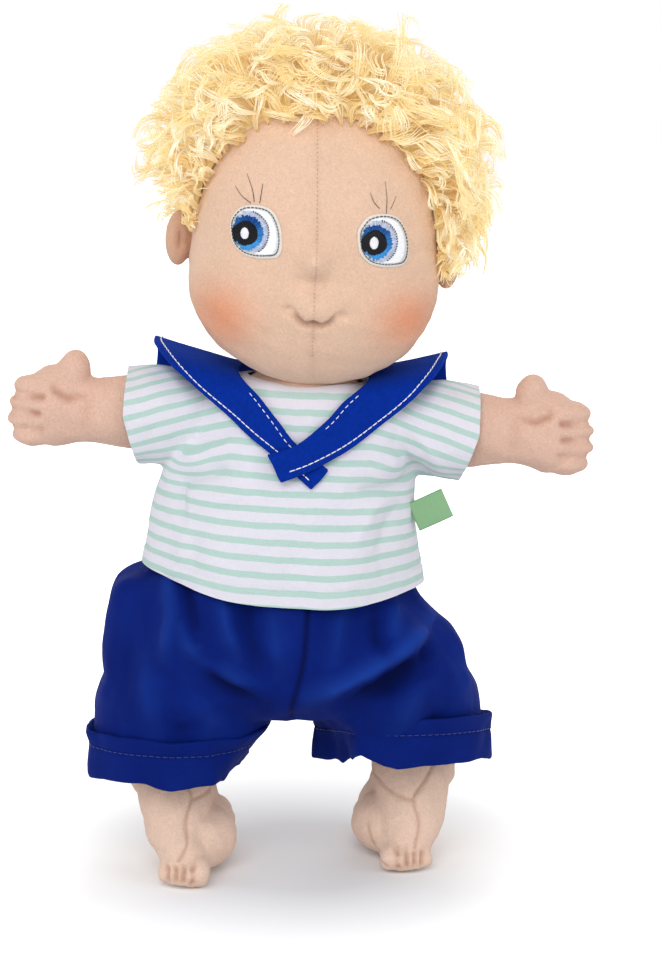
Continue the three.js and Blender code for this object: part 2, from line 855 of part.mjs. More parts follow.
// Shorts, in the standing frame
const pelvisProfile = [
  { z: waistHeight, rx: waistWidth / 2, ry: waistDepth / 2, cx: -4.4 },
  { z: 110, rx: 46, ry: 35, cx: -5.5, tilt: -0.1 },
  { z: 102.5, rx: 54.5, ry: 38, cx: -5, tilt: -0.1 },
  { z: 92, rx: 64, ry: 42, cx: -4, tilt: -0.03 },
  { z: 80, rx: 67, ry: 41, cx: -4 },
  { z: 70, rx: 62, ry: 36, cx: -4 },
  { z: 61, rx: 40, ry: 24, cx: -4 },
];
const legTube = {
  left: [
    { z: 85, rx: 27, ry: 30, cx: 33, cy: 0 },
    { z: 72, rx: 35, ry: 36, cx: 32, cy: 2 },
    { z: 60, rx: 34, ry: 33, cx: 35, cy: 4 },
    { z: 50, rx: legOpeningWidth / 2, ry: legOpeningDepth / 2, cx: 38, cy: 4, slope: -0.16 },
  ],
  right: [
    { z: 85, rx: 27, ry: 30, cx: -40, cy: 0 },
    { z: 72, rx: 35, ry: 36, cx: -41, cy: 0 },
    { z: 59, rx: 34, ry: 33, cx: -44, cy: 0 },
    { z: 46, rx: legOpeningWidth / 2, ry: legOpeningDepth / 2, cx: -46, cy: 0, slope: -0.05 },
  ],
};

// Gathers are fine at the elastic and open out below it; each leg has its own soft folds
const pelvisFold = (angle, z) =>
  z > 105 ? waistGather * Math.cos(9 * angle) : 0.7 * shortsFold * Math.cos(9 * angle);
const legFold = (angle, z) => shortsFold * Math.cos(5 * angle + z / 12) * (z < 65 ? 0.4 : 1);

// The pelvis and both leg tubes as one solid, its open ends lengthened where it is a cutter
function shortsBody(shrink) {
  const pelvis = pelvisProfile.map((level) => levelRing(level, 27, shrink, pelvisFold));
  const tubes = Object.values(legTube).map((levels) =>
    levels.map((level) => levelRing(level, 18, shrink, legFold)),
  );
  if (shrink) {
    pelvis.unshift(pelvis[0].map((p) => p.clone().add(v3(0, 0, 20))));
    pelvis.at(-1).forEach((p) => (p.z += shrink));
    tubes.forEach((rings) => rings.push(rings.at(-1).map((p) => p.clone().sub(v3(0, 0, 20)))));
  }
  return union([loft(pelvis), ...tubes.map((rings) => loft(rings))]);
}

const shortsShell = shortsBody(0).subtract(shortsBody(clothWall));
const shortsLeft = keep(shortsShell, 0, bodyShift + gap / 2, 1);
const shortsRight = keep(shortsShell, 0, bodyShift - gap / 2, -1);

// A cuff is the end of the leg turned up on the outside
function cuff(name) {
  const end = legTube[name].at(-1);
  const levels = [cuffLap, 0, cuffLap - cuffTall];
  const flare = [clothWall + gap + 0.8, clothWall + gap, clothWall + gap + 1];
  const rings = (shrink) =>
    levels.map((rise, i) =>
      levelRing({ ...end, z: end.z + rise }, 18, shrink - flare[i], legFold),
    );
  return cut(sleeveShell(rings(0), rings(clothWall)), [shortsBodyGrown(name)]);
}

function shortsBodyGrown(name) {
  return loft(legTube[name].map((level) => levelRing(level, 18, -gap, legFold)));
}

const elastic = sleeveShell(
  [waistHeight - 1, waistHeight - 1 - elasticTall].map((z) =>
    levelRing({ ...pelvisProfile[0], z }, 28, clothWall + gap + waistGather),
  ),
  [waistHeight - 1, waistHeight - 1 - elasticTall].map((z) =>
    levelRing({ ...pelvisProfile[0], z }, 28, clothWall + gap + waistGather + elasticWall),
  ),
);

// Assembly
const doll = new THREE.Group();
doll.position.set(standAside, standAhead, 0);
const upper = new THREE.Group();
upper.applyMatrix4(upperFrame);
doll.add(upper);

upper.add(
  piece("torso_skin", torsoSkin, velour),
  piece("torso_filling", torsoFilling, stuffing),
  piece("pellet_bag", pelletBag, stuffing),
  piece("neck", neckSolid(0), velour),
  piece("shirt_front", shirtFront, striped),
  piece("shirt_back_left", shirtBackLeft, striped),
  piece("shirt_back_right", shirtBackRight, striped),
  piece("back_closure_tape", closureTape, thread(0xf2f2ee)),
  piece("sailor_collar", collar, felt),
  piece("side_label", label, thread(0x5fae62)),
);

for (const [name, side] of Object.entries(armSides)) {
  const arm = new THREE.Group();
  arm.position.copy(shoulderOf(side));
  arm.add(
    piece(`${name}_arm_skin`, arms[name].skin, velour),
    piece(`${name}_arm_filling`, arms[name].filling, stuffing),
  );
  upper.add(arm, piece(`${name}_sleeve`, sleeve(side, arms[name].outer), striped));
}

const head = new THREE.Group();
head.applyMatrix4(headFrame);
head.add(
  piece("head_skin", headSkin, velour),
  piece("head_filling", headFilling, stuffing),
  piece("wig_backing", wigRegion(backingShell), cloth(0xe8d9b0, 0.9)),
  piece("hair_pile", wigRegion(hairShell), blond),
);
for (const [name, side] of Object.entries(armSides)) {
  const x = (side * eyeSpacing) / 2;
  head.add(
    piece(`${name}_ear`, ear(side), velour),
    piece(`${name}_eye_patch`, onFace(eyeOutline(), x, eyeHeight, gap, eyeLayer), thread(0xf4f4f2)),
    piece(
      `${name}_iris`,
      onFace(disc(irisRadius, irisShift), x, eyeHeight, 2 * gap + eyeLayer, eyeLayer),
      thread(0x2f74c8),
    ),
    piece(
      `${name}_pupil`,
      onFace(disc(pupilRadius, pupilShift), x, eyeHeight, 3 * gap + 2 * eyeLayer, eyeLayer),
      thread(0x15171f),
    ),
  );
}
upper.add(head);

for (const name of Object.keys(legPlan)) {
  doll.add(
    piece(`${name}_leg_skin`, legs[name].skin, velour),
    piece(`${name}_leg_filling`, legs[name].filling, stuffing),
    piece(`${name}_cuff`, cuff(name), navy),
  );
}
doll.add(
  piece("shorts_left_half", shortsLeft, navy),
  piece("shorts_right_half", shortsRight, navy),
  piece("waist_elastic", elastic, cloth(0xf0f0ee, 0.8)),
);

export default doll;
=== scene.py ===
# %% [markdown]
# # A cloth doll, dressed around its frame
# The doll is a soft figure of peach fleece with an embroidered face, a curly blond wig, a striped
# cotton shirt with a blue felt sailor collar, and navy twill shorts with turned-up legs. A frame of
# plain solids gives the sizes, the places and the joints. Each soft piece is made here in full and
# stands for the plain solid in the frame. All lengths below are in millimetres, because that is how
# a maker measures a doll, and they become metres where a mesh is written.

# %% Load the frame
import math

import bmesh
import bpy
import numpy as np
from mathutils import Matrix, Vector
from mathutils.bvhtree import BVHTree


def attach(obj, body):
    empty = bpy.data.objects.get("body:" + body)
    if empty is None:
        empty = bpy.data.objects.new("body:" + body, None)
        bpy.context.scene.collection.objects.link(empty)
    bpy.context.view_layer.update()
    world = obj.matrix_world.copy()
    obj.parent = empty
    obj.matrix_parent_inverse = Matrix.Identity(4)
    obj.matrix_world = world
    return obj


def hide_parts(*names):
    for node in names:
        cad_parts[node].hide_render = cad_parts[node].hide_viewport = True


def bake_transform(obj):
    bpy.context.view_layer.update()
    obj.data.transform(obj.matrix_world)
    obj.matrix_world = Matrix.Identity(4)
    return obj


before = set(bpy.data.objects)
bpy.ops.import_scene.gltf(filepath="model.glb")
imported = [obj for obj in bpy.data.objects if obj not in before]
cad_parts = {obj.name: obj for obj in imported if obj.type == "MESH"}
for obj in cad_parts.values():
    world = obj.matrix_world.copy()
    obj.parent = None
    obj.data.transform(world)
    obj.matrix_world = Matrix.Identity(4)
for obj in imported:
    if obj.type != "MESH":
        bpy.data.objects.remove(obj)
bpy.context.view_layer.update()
MM = 0.001

# %% [markdown]
# The camera comes first. A product picture of a standing doll is taken with a long lens from a
# little above its middle, so that the feet show their tops and the face isn't drawn wide. The
# camera therefore stands about a metre away, ten degrees up, and looks straight at the doll.

# %% Camera
AIM = Vector((11, -4.5, 149.4))
CAMERA_DISTANCE = 975
CAMERA_RISE = math.radians(10)
SENSOR_HEIGHT = 36
LENS = 98.3
camera_from = AIM + CAMERA_DISTANCE * Vector((0, -math.cos(CAMERA_RISE), math.sin(CAMERA_RISE)))
bpy.ops.object.camera_add(location=camera_from * MM, rotation=(math.pi / 2 - CAMERA_RISE, 0, 0))
camera = bpy.context.active_object
camera.data.sensor_fit = "VERTICAL"
camera.data.sensor_height = SENSOR_HEIGHT
camera.data.lens = LENS
camera.data.clip_start = 0.05
bpy.context.scene.camera = camera
bpy.context.scene.view_settings.view_transform = "Standard"
print("camera stands", CAMERA_DISTANCE, "mm away with a lens of", LENS)

# %% [markdown]
# Small helpers. Blender's operators act on whatever is selected, so one helper selects exactly the
# wanted objects. The others read and write a mesh's points as one table of numbers in millimetres,
# apply a modifier at once, and make a smooth step. With these, a soft form can be pushed and pulled
# point by point, the way clay is.

# %% Helpers for meshes
def only(*objects):
    """Selects these objects and nothing else."""
    bpy.ops.object.select_all(action="DESELECT")
    for each in objects:
        each.select_set(True)
    bpy.context.view_layer.objects.active = objects[0]


def read_three(items, field):
    """Reads x, y and z of many items as one table."""
    found = np.empty(len(items) * 3, np.float32)
    items.foreach_get(field, found)
    return found.reshape(-1, 3)


def points(obj):
    return read_three(obj.data.vertices, "co").astype(float) / MM


def normals(obj):
    return read_three(obj.data.vertices, "normal").astype(float)


def set_points(obj, places):
    obj.data.vertices.foreach_set("co", (places * MM).astype(np.float32).ravel())
    obj.data.update()


def push_out(obj, amounts):
    """Moves each point along its normal by an amount of its own, in millimetres."""
    set_points(obj, points(obj) + normals(obj) * amounts[:, None])


# %% Helpers to finish and join meshes
def finish_with(obj, kind, **settings):
    """Adds a modifier with these settings and applies it."""
    only(obj)
    modifier = obj.modifiers.new(kind.lower(), kind)
    for key, value in settings.items():
        setattr(modifier, key, value)
    bpy.ops.object.modifier_apply(modifier=modifier.name)
    return obj


def settle(obj, name):
    """Moves an object's place, turn and scale into its mesh and names it."""
    only(obj)
    bpy.ops.object.transform_apply(location=True, rotation=True, scale=True)
    obj.name = obj.data.name = name
    bpy.ops.object.shade_smooth()
    return obj


def joined(objects, name):
    only(*objects)
    bpy.ops.object.join()
    return settle(objects[0], name)


def mesh_piece(name, corners, faces):
    """A new object from a table of points in millimetres and a list of faces."""
    mesh = bpy.data.meshes.new(name)
    mesh.from_pydata((np.asarray(corners) * MM).tolist(), [], [list(map(int, f)) for f in faces])
    mesh.update()
    obj = bpy.data.objects.new(name, mesh)
    bpy.context.scene.collection.objects.link(obj)
    only(obj)
    bpy.ops.object.shade_smooth()
    return obj


def face_outward(obj):
    """Turns every face so that it points out of the form."""
    only(obj)
    bpy.ops.object.mode_set(mode="EDIT")
    bpy.ops.mesh.select_all(action="SELECT")
    bpy.ops.mesh.normals_make_consistent(inside=False)
    bpy.ops.object.mode_set(mode="OBJECT")


def smooth_step(value, low, high):
    """0 below low, 1 above high, and a soft rise between them."""
    share = np.clip((value - low) / (high - low), 0, 1)
    return share * share * (3 - 2 * share)


def set_attribute(obj, name, values, kind="FLOAT"):
    """Stores a value, or with FLOAT_VECTOR a vector, on each point of a mesh."""
    field = "value" if kind == "FLOAT" else "vector"
    made = obj.data.attributes.new(name, kind, "POINT")
    made.data.foreach_set(field, np.asarray(values, np.float32).ravel())


# %% [markdown]
# Sewn cloth is never even. A few sine waves in mixed directions, added up, give soft lumps that are
# the same each time the script runs. Lines of stitching pull the cloth in, so a second helper finds
# how far each point is from a line and a third one sinks the cloth there.

# %% Helpers for lumps and seams
def lumps(places, size, seed, waves=9):
    """Soft lumps of about that size in millimetres, between about -1 and 1."""
    draw = np.random.default_rng(seed)
    total = np.zeros(len(places))
    for _ in range(waves):
        heading = draw.normal(size=3)
        heading *= draw.uniform(0.7, 1.5) * 2 * math.pi / size / np.linalg.norm(heading)
        total += np.sin(places @ heading + draw.uniform(0, 2 * math.pi))
    return total / math.sqrt(waves)


def distance_to(line, places):
    """How far each place is from a line of points."""
    line = np.asarray(line, float)
    nearest = np.full(len(places), 1e9)
    for a, b in zip(line[:-1], line[1:]):
        along = b - a
        share = np.clip((places - a) @ along / (along @ along), 0, 1)
        nearest = np.minimum(nearest, np.linalg.norm(places - a - share[:, None] * along, axis=1))
    return nearest


def sink(obj, line, depth, width):
    """Pulls the cloth in along a line of stitches, and remembers where for the shading."""
    near = np.exp(-((distance_to(line, points(obj)) / width) ** 2))
    push_out(obj, -depth * near)
    return near


# %% Helpers for surfaces and curves
def surface_of(*objects):
    """A finder for the nearest place on several meshes, in millimetres."""
    corners, faces = [], []
    for obj in objects:
        start = len(corners)
        corners += points(obj).tolist()
        faces += [[start + i for i in polygon.vertices] for polygon in obj.data.polygons]
    return BVHTree.FromPolygons(corners, faces)


def curve_through(control, count):
    """Evenly shared points on a smooth curve through the control points."""
    control = np.asarray(control, float)
    padded = np.vstack([2 * control[0] - control[1], control, 2 * control[-1] - control[-2]])
    found = []
    for place in np.linspace(0, len(control) - 1, count):
        i = min(int(place), len(control) - 2)
        t = place - i
        a, b, c, d = padded[i : i + 4]
        square = 2 * a - 5 * b + 4 * c - d
        cube = 3 * b - a - 3 * c + d
        found.append(0.5 * (2 * b + (c - a) * t + square * t**2 + cube * t**3))
    return np.array(found)


# %% [markdown]
# Threads, curls and folded edges are all thin tubes along a line. One helper makes many tubes at
# once: it carries a small ring along each line, turned as little as possible from point to point,
# and closes both ends. Hair and embroidery both use it, because it is quick for thousands of lines.

# %% Helper for many thin tubes
def unit(vectors):
    """The same directions with a length of 1."""
    return vectors / np.maximum(np.linalg.norm(vectors, axis=-1, keepdims=True), 1e-9)


def tubes(name, paths, radius, sides=5, notes=None):
    """Closed tubes along paths, a table of lines, points and x, y, z.

    The radius is one value or a table. Notes are values stored on the points, by name.
    """
    paths = np.asarray(paths, float)
    lines, steps, _ = paths.shape
    radius = np.broadcast_to(np.asarray(radius, float), (lines, steps))
    ahead = unit(np.gradient(paths, axis=1))
    start = np.where(np.abs(ahead[:, 0, 2:3]) < 0.8, [[0.0, 0, 1]], [[1.0, 0, 0]])
    across = unit(np.cross(ahead[:, 0], start))
    rings = np.empty((lines, steps, sides, 3))
    turns = np.arange(sides) * 2 * math.pi / sides
    for step in range(steps):
        across = unit(across - (across * ahead[:, step]).sum(1, keepdims=True) * ahead[:, step])
        beside = np.cross(ahead[:, step], across)
        spokes = across[:, None] * np.cos(turns)[:, None] + beside[:, None] * np.sin(turns)[:, None]
        rings[:, step] = paths[:, step, None] + radius[:, step, None, None] * spokes
    index = np.arange(lines * steps * sides).reshape(lines, steps, sides)
    following = np.roll(index, -1, axis=2)
    quads = np.stack([index[:, :-1], following[:, :-1], following[:, 1:], index[:, 1:]], axis=-1)
    faces = quads.reshape(-1, 4).tolist()
    faces += index[:, 0, ::-1].tolist()
    faces += index[:, -1].tolist()
    obj = mesh_piece(name, rings.reshape(-1, 3), faces)
    for key, value in (notes or {}).items():
        spread = np.broadcast_to(np.asarray(value, float), (lines, steps))
        set_attribute(obj, key, np.repeat(spread.ravel(), sides))
    return obj


# %% [markdown]
# Finishes are built from nodes. A short helper adds a node, sets its values and links its sockets,
# so that each finish reads as a list. Others add the steps that come back most: a sum, a range, a
# mix of two colours, a noise, and the place of a point on its own piece.

# %% Helpers for materials
def rgb(red, green, blue):
    """A colour as a screen shows it, 0 to 255, made into the linear values that light needs."""
    shares = [value / 255 for value in (red, green, blue)]
    return tuple(s / 12.92 if s <= 0.04045 else ((s + 0.055) / 1.055) ** 2.4 for s in shares) + (1,)


def feed(tree, made, inputs):
    """Gives a node its inputs: a socket is linked to them, and anything else is written there."""
    for key, value in inputs.items():
        if isinstance(value, bpy.types.NodeSocket):
            tree.links.new(value, made.inputs[key])
        else:
            made.inputs[key].default_value = value


def node(tree, kind, inputs=None, **settings):
    made = tree.nodes.new("ShaderNode" + kind)
    for key, value in settings.items():
        setattr(made, key, value)
    feed(tree, made, inputs or {})
    return made


def math_node(tree, operation, *values):
    return node(tree, "Math", dict(enumerate(values)), operation=operation).outputs[0]


# %% Helpers for ranges, mixes and noise
def span(tree, value, low, high, to_low, to_high, smooth=False):
    """Takes the range from low to high to another range, and stops at its ends."""
    kind = "SMOOTHSTEP" if smooth else "LINEAR"
    settings = {"Value": value, "From Min": low, "From Max": high, "To Min": to_low, "To Max": to_high}
    return node(tree, "MapRange", settings, interpolation_type=kind).outputs[0]


def mixed(tree, factor, first, second, how="MIX"):
    """Two colours mixed; 0, 6 and 7 are the sockets of a mix node for its factor and its colours."""
    made = node(tree, "Mix", data_type="RGBA", blend_type=how)
    feed(tree, made, {0: factor, 6: first, 7: second})
    return made.outputs[2]


def noise(tree, vector, scale, detail, roughness=0.5, distortion=0.0):
    settings = {"Vector": vector, "Scale": scale, "Detail": detail}
    settings |= {"Roughness": roughness, "Distortion": distortion}
    return node(tree, "TexNoise", settings).outputs[0]


def object_place(tree):
    return node(tree, "TexCoord").outputs["Object"]


def stored(tree, name, output="Fac"):
    """A value that the modelling stored on the points."""
    return node(tree, "Attribute", attribute_name=name).outputs[output]


def shaded(tree, colour, shade):
    """The colour times a shade that changes over the surface."""
    grey = node(tree, "CombineColor", {0: shade, 1: shade, 2: shade}).outputs[0]
    return mixed(tree, 1.0, colour, grey, "MULTIPLY")


def bump_into(tree, shader, height, strength, distance):
    made = node(tree, "Bump", {"Height": height, "Strength": strength, "Distance": distance * MM})
    tree.links.new(made.outputs[0], shader.inputs["Normal"])


def new_material(name):
    """A finish, its node tree and its shader."""
    material = bpy.data.materials.new(name)
    material.use_nodes = True
    return material, material.node_tree, material.node_tree.nodes["Principled BSDF"]


# %% [markdown]
# The room is a plain pale floor under soft light: one large lamp in front and above, two weaker
# ones at the sides, one behind, and an even sky, at a level where a colour looks about as it is
# written. What the camera sees of the floor is lifted to white with the distance from the doll, as
# in a product picture, and the shadow near the feet stays.

# %% Floor
def seen_directly(tree):
    """A mask that is 1 for what the camera sees, also in a reflection or through glass."""
    path = node(tree, "LightPath").outputs
    direct = math_node(tree, "MAXIMUM", path["Is Camera Ray"], path["Is Glossy Ray"])
    return math_node(tree, "MAXIMUM", direct, path["Is Transmission Ray"])


FLOOR_SIZE = 8
NEAR, FAR = 0.04, 0.21
LIFT_NEAR, LIFT_FAR = 0.05, 0.95
bpy.ops.mesh.primitive_plane_add(size=FLOOR_SIZE, location=(0, 0, 0))
floor = settle(bpy.context.active_object, "floor")
floor_paper, tree, shader = new_material("pale_paper")
away = node(tree, "VectorMath", {0: object_place(tree)}, operation="LENGTH").outputs["Value"]
lift = math_node(tree, "MULTIPLY", seen_directly(tree), span(tree, away, NEAR, FAR, LIFT_NEAR, LIFT_FAR))
feed(tree, shader, {
    "Base Color": (0.82, 0.82, 0.83, 1), "Roughness": 0.9, "Specular IOR Level": 0.1,
    "Emission Color": (1, 1, 1, 1), "Emission Strength": lift,
})
floor.data.materials.append(floor_paper)
print("floor:", FLOOR_SIZE, "m wide")

# %% Sky and lamps
SKY_LEVEL = 0.62
sky = bpy.data.worlds.new("soft_sky")
sky.use_nodes = True
bpy.context.scene.world = sky
tree = sky.node_tree
level = span(tree, seen_directly(tree), 0, 1, SKY_LEVEL, 1)
feed(tree, tree.nodes["Background"], {"Color": (1, 1, 1, 1), "Strength": level})

LAMP_AIM = Vector((0, 0, 150))
LAMPS = {
    "front_lamp": {"at": (-180, -1100, 950), "wide": 900, "watts": 7.0},
    "left_fill": {"at": (1000, -700, 350), "wide": 800, "watts": 2.4},
    "right_fill": {"at": (-1100, -500, 300), "wide": 800, "watts": 2.2},
    "rear_lamp": {"at": (200, 1000, 900), "wide": 700, "watts": 3.5},
}
for name, plan in LAMPS.items():
    bpy.ops.object.light_add(type="AREA", location=Vector(plan["at"]) * MM)
    lamp = bpy.context.active_object
    lamp.name = name
    lamp.data.shape = "DISK"
    lamp.data.size = plan["wide"] * MM
    lamp.data.energy = plan["watts"]
    lamp.rotation_euler = (LAMP_AIM - Vector(plan["at"])).to_track_quat("-Z", "Y").to_euler()
print("lamps:", list(LAMPS))

# %% [markdown]
# Effects that several finishes share are node groups with named sockets: the short nap of fleece,
# the crossing threads of a plain weave, the slanted ribs of twill and the loose fibres of felt. They
# give out only shades and heights, and each finish has its own shader.

# %% Helpers for shared effects
def shader_group(name, **inputs):
    """An empty group that gives out a shade and a height; its inputs are names with their kinds."""
    tree = bpy.data.node_groups.new(name, "ShaderNodeTree")
    for label, kind in inputs.items():
        tree.interface.new_socket(name=label, in_out="INPUT", socket_type="NodeSocket" + kind)
    for label in ("Shade", "Height"):
        tree.interface.new_socket(name=label, in_out="OUTPUT", socket_type="NodeSocketFloat")
    return tree, tree.nodes.new("NodeGroupInput").outputs, tree.nodes.new("NodeGroupOutput")


def use_group(tree, group, **inputs):
    return node(tree, "Group", inputs, node_tree=group).outputs


# %% Nap of fleece
nap, into, out = shader_group("fleece_nap", Vector="Vector")
tufts = noise(nap, into["Vector"], 1150.0, 3.0, 0.6, 0.9)
pile = noise(nap, into["Vector"], 2300.0, 2.0)
worn = noise(nap, into["Vector"], 60.0, 2.0)
tuft_shade = span(nap, tufts, 0.32, 0.68, 0.9, 1.07)
worn_shade = span(nap, worn, 0.3, 0.7, 0.975, 1.02)
height = math_node(nap, "MULTIPLY_ADD", pile, 0.5, tufts)
feed(nap, out, {"Shade": math_node(nap, "MULTIPLY", tuft_shade, worn_shade), "Height": height})
print("nap:", len(nap.nodes), "nodes")

# %% Threads of a plain weave
SLUB_STRETCHES = [(0.35, 4.0, 1.0), (4.0, 0.35, 1.0)]
weave, into, out = shader_group("plain_weave", Vector="Vector", Pitch="Float")
parts = node(weave, "SeparateXYZ", {0: into["Vector"]}).outputs
half_turn = math_node(weave, "DIVIDE", math.pi, into["Pitch"])
warp = math_node(weave, "SINE", math_node(weave, "MULTIPLY", parts[0], half_turn))
weft = math_node(weave, "SINE", math_node(weave, "MULTIPLY", parts[1], half_turn))
height = span(weave, math_node(weave, "MULTIPLY", warp, weft), -1, 1, 0, 1)
slubs = []
for slim in SLUB_STRETCHES:
    stretched = node(weave, "VectorMath", {0: into["Vector"], 1: slim}, operation="MULTIPLY").outputs[0]
    slubs.append(span(weave, noise(weave, stretched, 1.0, 2.0), 0.3, 0.7, 0.97, 1.03))
feed(weave, out, {"Shade": math_node(weave, "MULTIPLY", *slubs), "Height": height})
print("weave:", len(weave.nodes), "nodes")

# %% Ribs of twill
twill, into, out = shader_group("twill_ribs", Vector="Vector", Pitch="Float")
parts = node(twill, "SeparateXYZ", {0: into["Vector"]}).outputs
slant = math_node(twill, "ADD", parts[0], math_node(twill, "MULTIPLY", parts[1], 0.8))
turns = math_node(twill, "DIVIDE", math_node(twill, "MULTIPLY", slant, 2 * math.pi), into["Pitch"])
height = span(twill, math_node(twill, "SINE", turns), -1, 1, 0, 1)
faded = noise(twill, into["Vector"], 0.05, 3.0)
feed(twill, out, {"Shade": span(twill, faded, 0.3, 0.7, 0.9, 1.12), "Height": height})
print("twill:", len(twill.nodes), "nodes")

# %% Fibres of felt
felt, into, out = shader_group("felt_fibres", Vector="Vector")
matted = noise(felt, into["Vector"], 450.0, 5.0, 0.7, 1.2)
fluff = noise(felt, into["Vector"], 1900.0, 2.0, 0.5, 2.0)
height = math_node(felt, "ADD", matted, fluff)
feed(felt, out, {"Shade": span(felt, matted, 0.3, 0.7, 0.82, 1.18), "Height": height})
print("shared effects:", [g.name for g in bpy.data.node_groups])

# %% [markdown]
# Fleece is knitted cloth brushed into a short matt pile. It scatters light softly and glows a
# little at the rim, which the shader's sheen gives. The tufts show as a fine mottle in colour and
# height. Where a seam pulls it in, painted shade darkens the colour, and on the cheeks it is dabbed
# with orange-red fabric paint; both come from values that the modelling stores on the points.

# %% Fleece for the skin
def fleece(name, colour, crease_shade_colour, blush=None):
    """Skin cloth with painted shade where a seam pulls it in, and paint where a blush is stored."""
    material, tree, shader = new_material(name)
    fur = use_group(tree, nap, Vector=object_place(tree))
    # Painted shade: the colour turns towards the second colour in seams, creases and valleys.
    tinted = mixed(tree, span(tree, stored(tree, "fold"), 0, 1, 0, 0.75), colour, crease_shade_colour)
    if blush:
        tinted = mixed(tree, stored(tree, "blush"), tinted, blush)
    bump_into(tree, shader, fur["Height"], 0.75, 0.45)
    feed(tree, shader, {
        "Base Color": shaded(tree, tinted, fur["Shade"]), "Roughness": 0.95, "Specular IOR Level": 0.15,
        "Sheen Weight": 0.35, "Sheen Roughness": 0.45, "Sheen Tint": rgb(255, 235, 220),
    })
    return material


# The second colour of each fleece is painted shade for its seams and creases.
skin_fleece = fleece("skin_fleece", rgb(236, 204, 184), rgb(186, 138, 112))
# The arms' fleece is the skin fleece made darker, as painted shade.
shaded_arm_fleece = fleece("shaded_arm_fleece", rgb(222, 184, 165), rgb(178, 128, 106))
face_fleece = fleece("face_fleece", rgb(228, 193, 168), rgb(150, 104, 84), rgb(230, 146, 106))
ear_fleece = fleece("ear_fleece", rgb(214, 172, 146), rgb(170, 120, 96))
print("fleece finishes made")

# %% [markdown]
# The stuffed parts come next. The upper body leans three degrees over the hips, and the head sits
# turned and tipped a little on its neck. Each part is modelled in the frame of what carries it, and
# these two matrices take it to its place on the doll.

# %% Frames of the body and the head
HIPS_MIDDLE = (-5, -4.5, 74)
LEAN = math.radians(3)
NECK_TOP = (1, 0, 116)
HEAD_TURN = math.radians(1.5)
HEAD_TIP = math.radians(1.2)
FEET_MIDDLE = (-1, -4.5, 0)
upper = Matrix.Translation(HIPS_MIDDLE) @ Matrix.Rotation(LEAN, 4, "Y")
head_turn = Matrix.Rotation(HEAD_TURN, 4, "Z") @ Matrix.Rotation(HEAD_TIP, 4, "Y")
head_frame = upper @ Matrix.Translation(NECK_TOP) @ head_turn
standing = Matrix.Translation(FEET_MIDDLE)
print("the head's frame starts", round(head_frame.translation.z, 1), "mm up")


def place(frame_matrix, places):
    """Takes points from a part's own frame to the doll's."""
    matrix = np.array(frame_matrix)
    return np.asarray(places, float) @ matrix[:3, :3].T + matrix[:3, 3]


def unplace(frame_matrix, places):
    """Takes points from the doll's frame to a part's own."""
    return place(frame_matrix.inverted(), places)


# %% [markdown]
# An arm or a leg of a cloth doll is a sewn tube pushed full of wadding, so it is round, a little
# lumpy and pinched where it is stitched. It could be turned or extruded, but the hands and feet
# branch. Here balls are added along its middle line, each at its size and place, joined, and
# covered with one even skin by a voxel remesh. Smoothing then melts the creases between them, and
# the stitched lines are sunk in afterwards.

# %% Helpers for stuffed forms
def add_ball(centre, radii, frame_matrix=None, turn=0.0, across=28, rings=16):
    """A ball at a place in a part's own frame; turn is its turn about the upright axis."""
    local = Matrix.Translation(Vector(centre) * MM) @ Matrix.Rotation(turn, 4, "Z")
    world = Matrix.Diagonal((1, 1, 1, 1))
    if frame_matrix is not None:
        world = frame_matrix.copy()
        world.translation *= MM
    bpy.ops.mesh.primitive_uv_sphere_add(segments=across, ring_count=rings, radius=MM)
    made = bpy.context.active_object
    made.matrix_world = world @ local @ Matrix.Diagonal((*radii, 1))
    return made


def add_balls(stations, frame_matrix=None, turn=0.0, apart=3.0):
    """Balls along a middle line; each station is a centre and its three radii."""
    made = []
    for (a, size_a), (b, size_b) in zip(stations[:-1], stations[1:]):
        count = max(1, round((Vector(b) - Vector(a)).length / apart))
        for share in np.arange(count) / count:
            centre = Vector(a).lerp(Vector(b), share)
            size = Vector(size_a).lerp(Vector(size_b), share)
            made.append(add_ball(centre, size, frame_matrix, turn))
    made.append(add_ball(*stations[-1], frame_matrix, turn))
    return made


def cover(balls, name, voxel, smoothing):
    """Covers forms with one even skin, with points about a voxel apart, and smooths it."""
    skin = joined(balls, name)
    finish_with(skin, "REMESH", mode="VOXEL", voxel_size=voxel * MM)
    finish_with(skin, "SMOOTH", factor=0.5, iterations=smoothing)
    only(skin)
    bpy.ops.object.shade_smooth()
    return skin


def dress(piece, body, slot, material, *nodes):
    """Gives a finished piece its finish, body and frame nodes it stands for; the slot is not used."""
    piece.data.materials.clear()
    piece.data.materials.append(material)
    if body:
        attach(piece, body)
    if nodes:
        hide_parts(*nodes)
    print(piece.name, len(piece.data.polygons), "faces")
    return piece


# %% [markdown]
# The head is one ball of fleece, wider than deep and squarer than a true ball, with a seam down the
# middle of the face. A dense ball is added and its points are moved: first to the head's outline,
# with more columns on the face, then pushed out for the nose, the cheeks, the lips and the chin, and
# pulled in along the smile, which on the real doll is a few hidden stitches drawn tight.

# %% Outline of the head
HEAD_HALF = (46.25, 43.0)
HEAD_ABOVE, HEAD_BELOW = 70.0, 43.0
HEAD_MIDDLE = np.array([0, -2.0, 40.0])
HEAD_SQUARENESS = 2.25
FACE_FADE = 16


def head_surface(heading, grow=0.0):
    """The head's outline in a direction from its middle, in the head's own frame."""
    heading = unit(heading)
    height = np.where(heading[:, 2] > 0, HEAD_ABOVE, HEAD_BELOW)
    total = np.abs(heading[:, 0] / HEAD_HALF[0]) ** HEAD_SQUARENESS
    total += np.abs(heading[:, 1] / HEAD_HALF[1]) ** HEAD_SQUARENESS
    total += np.abs(heading[:, 2] / height) ** HEAD_SQUARENESS
    return HEAD_MIDDLE + heading * (total ** (-1 / HEAD_SQUARENESS) + grow)[:, None]


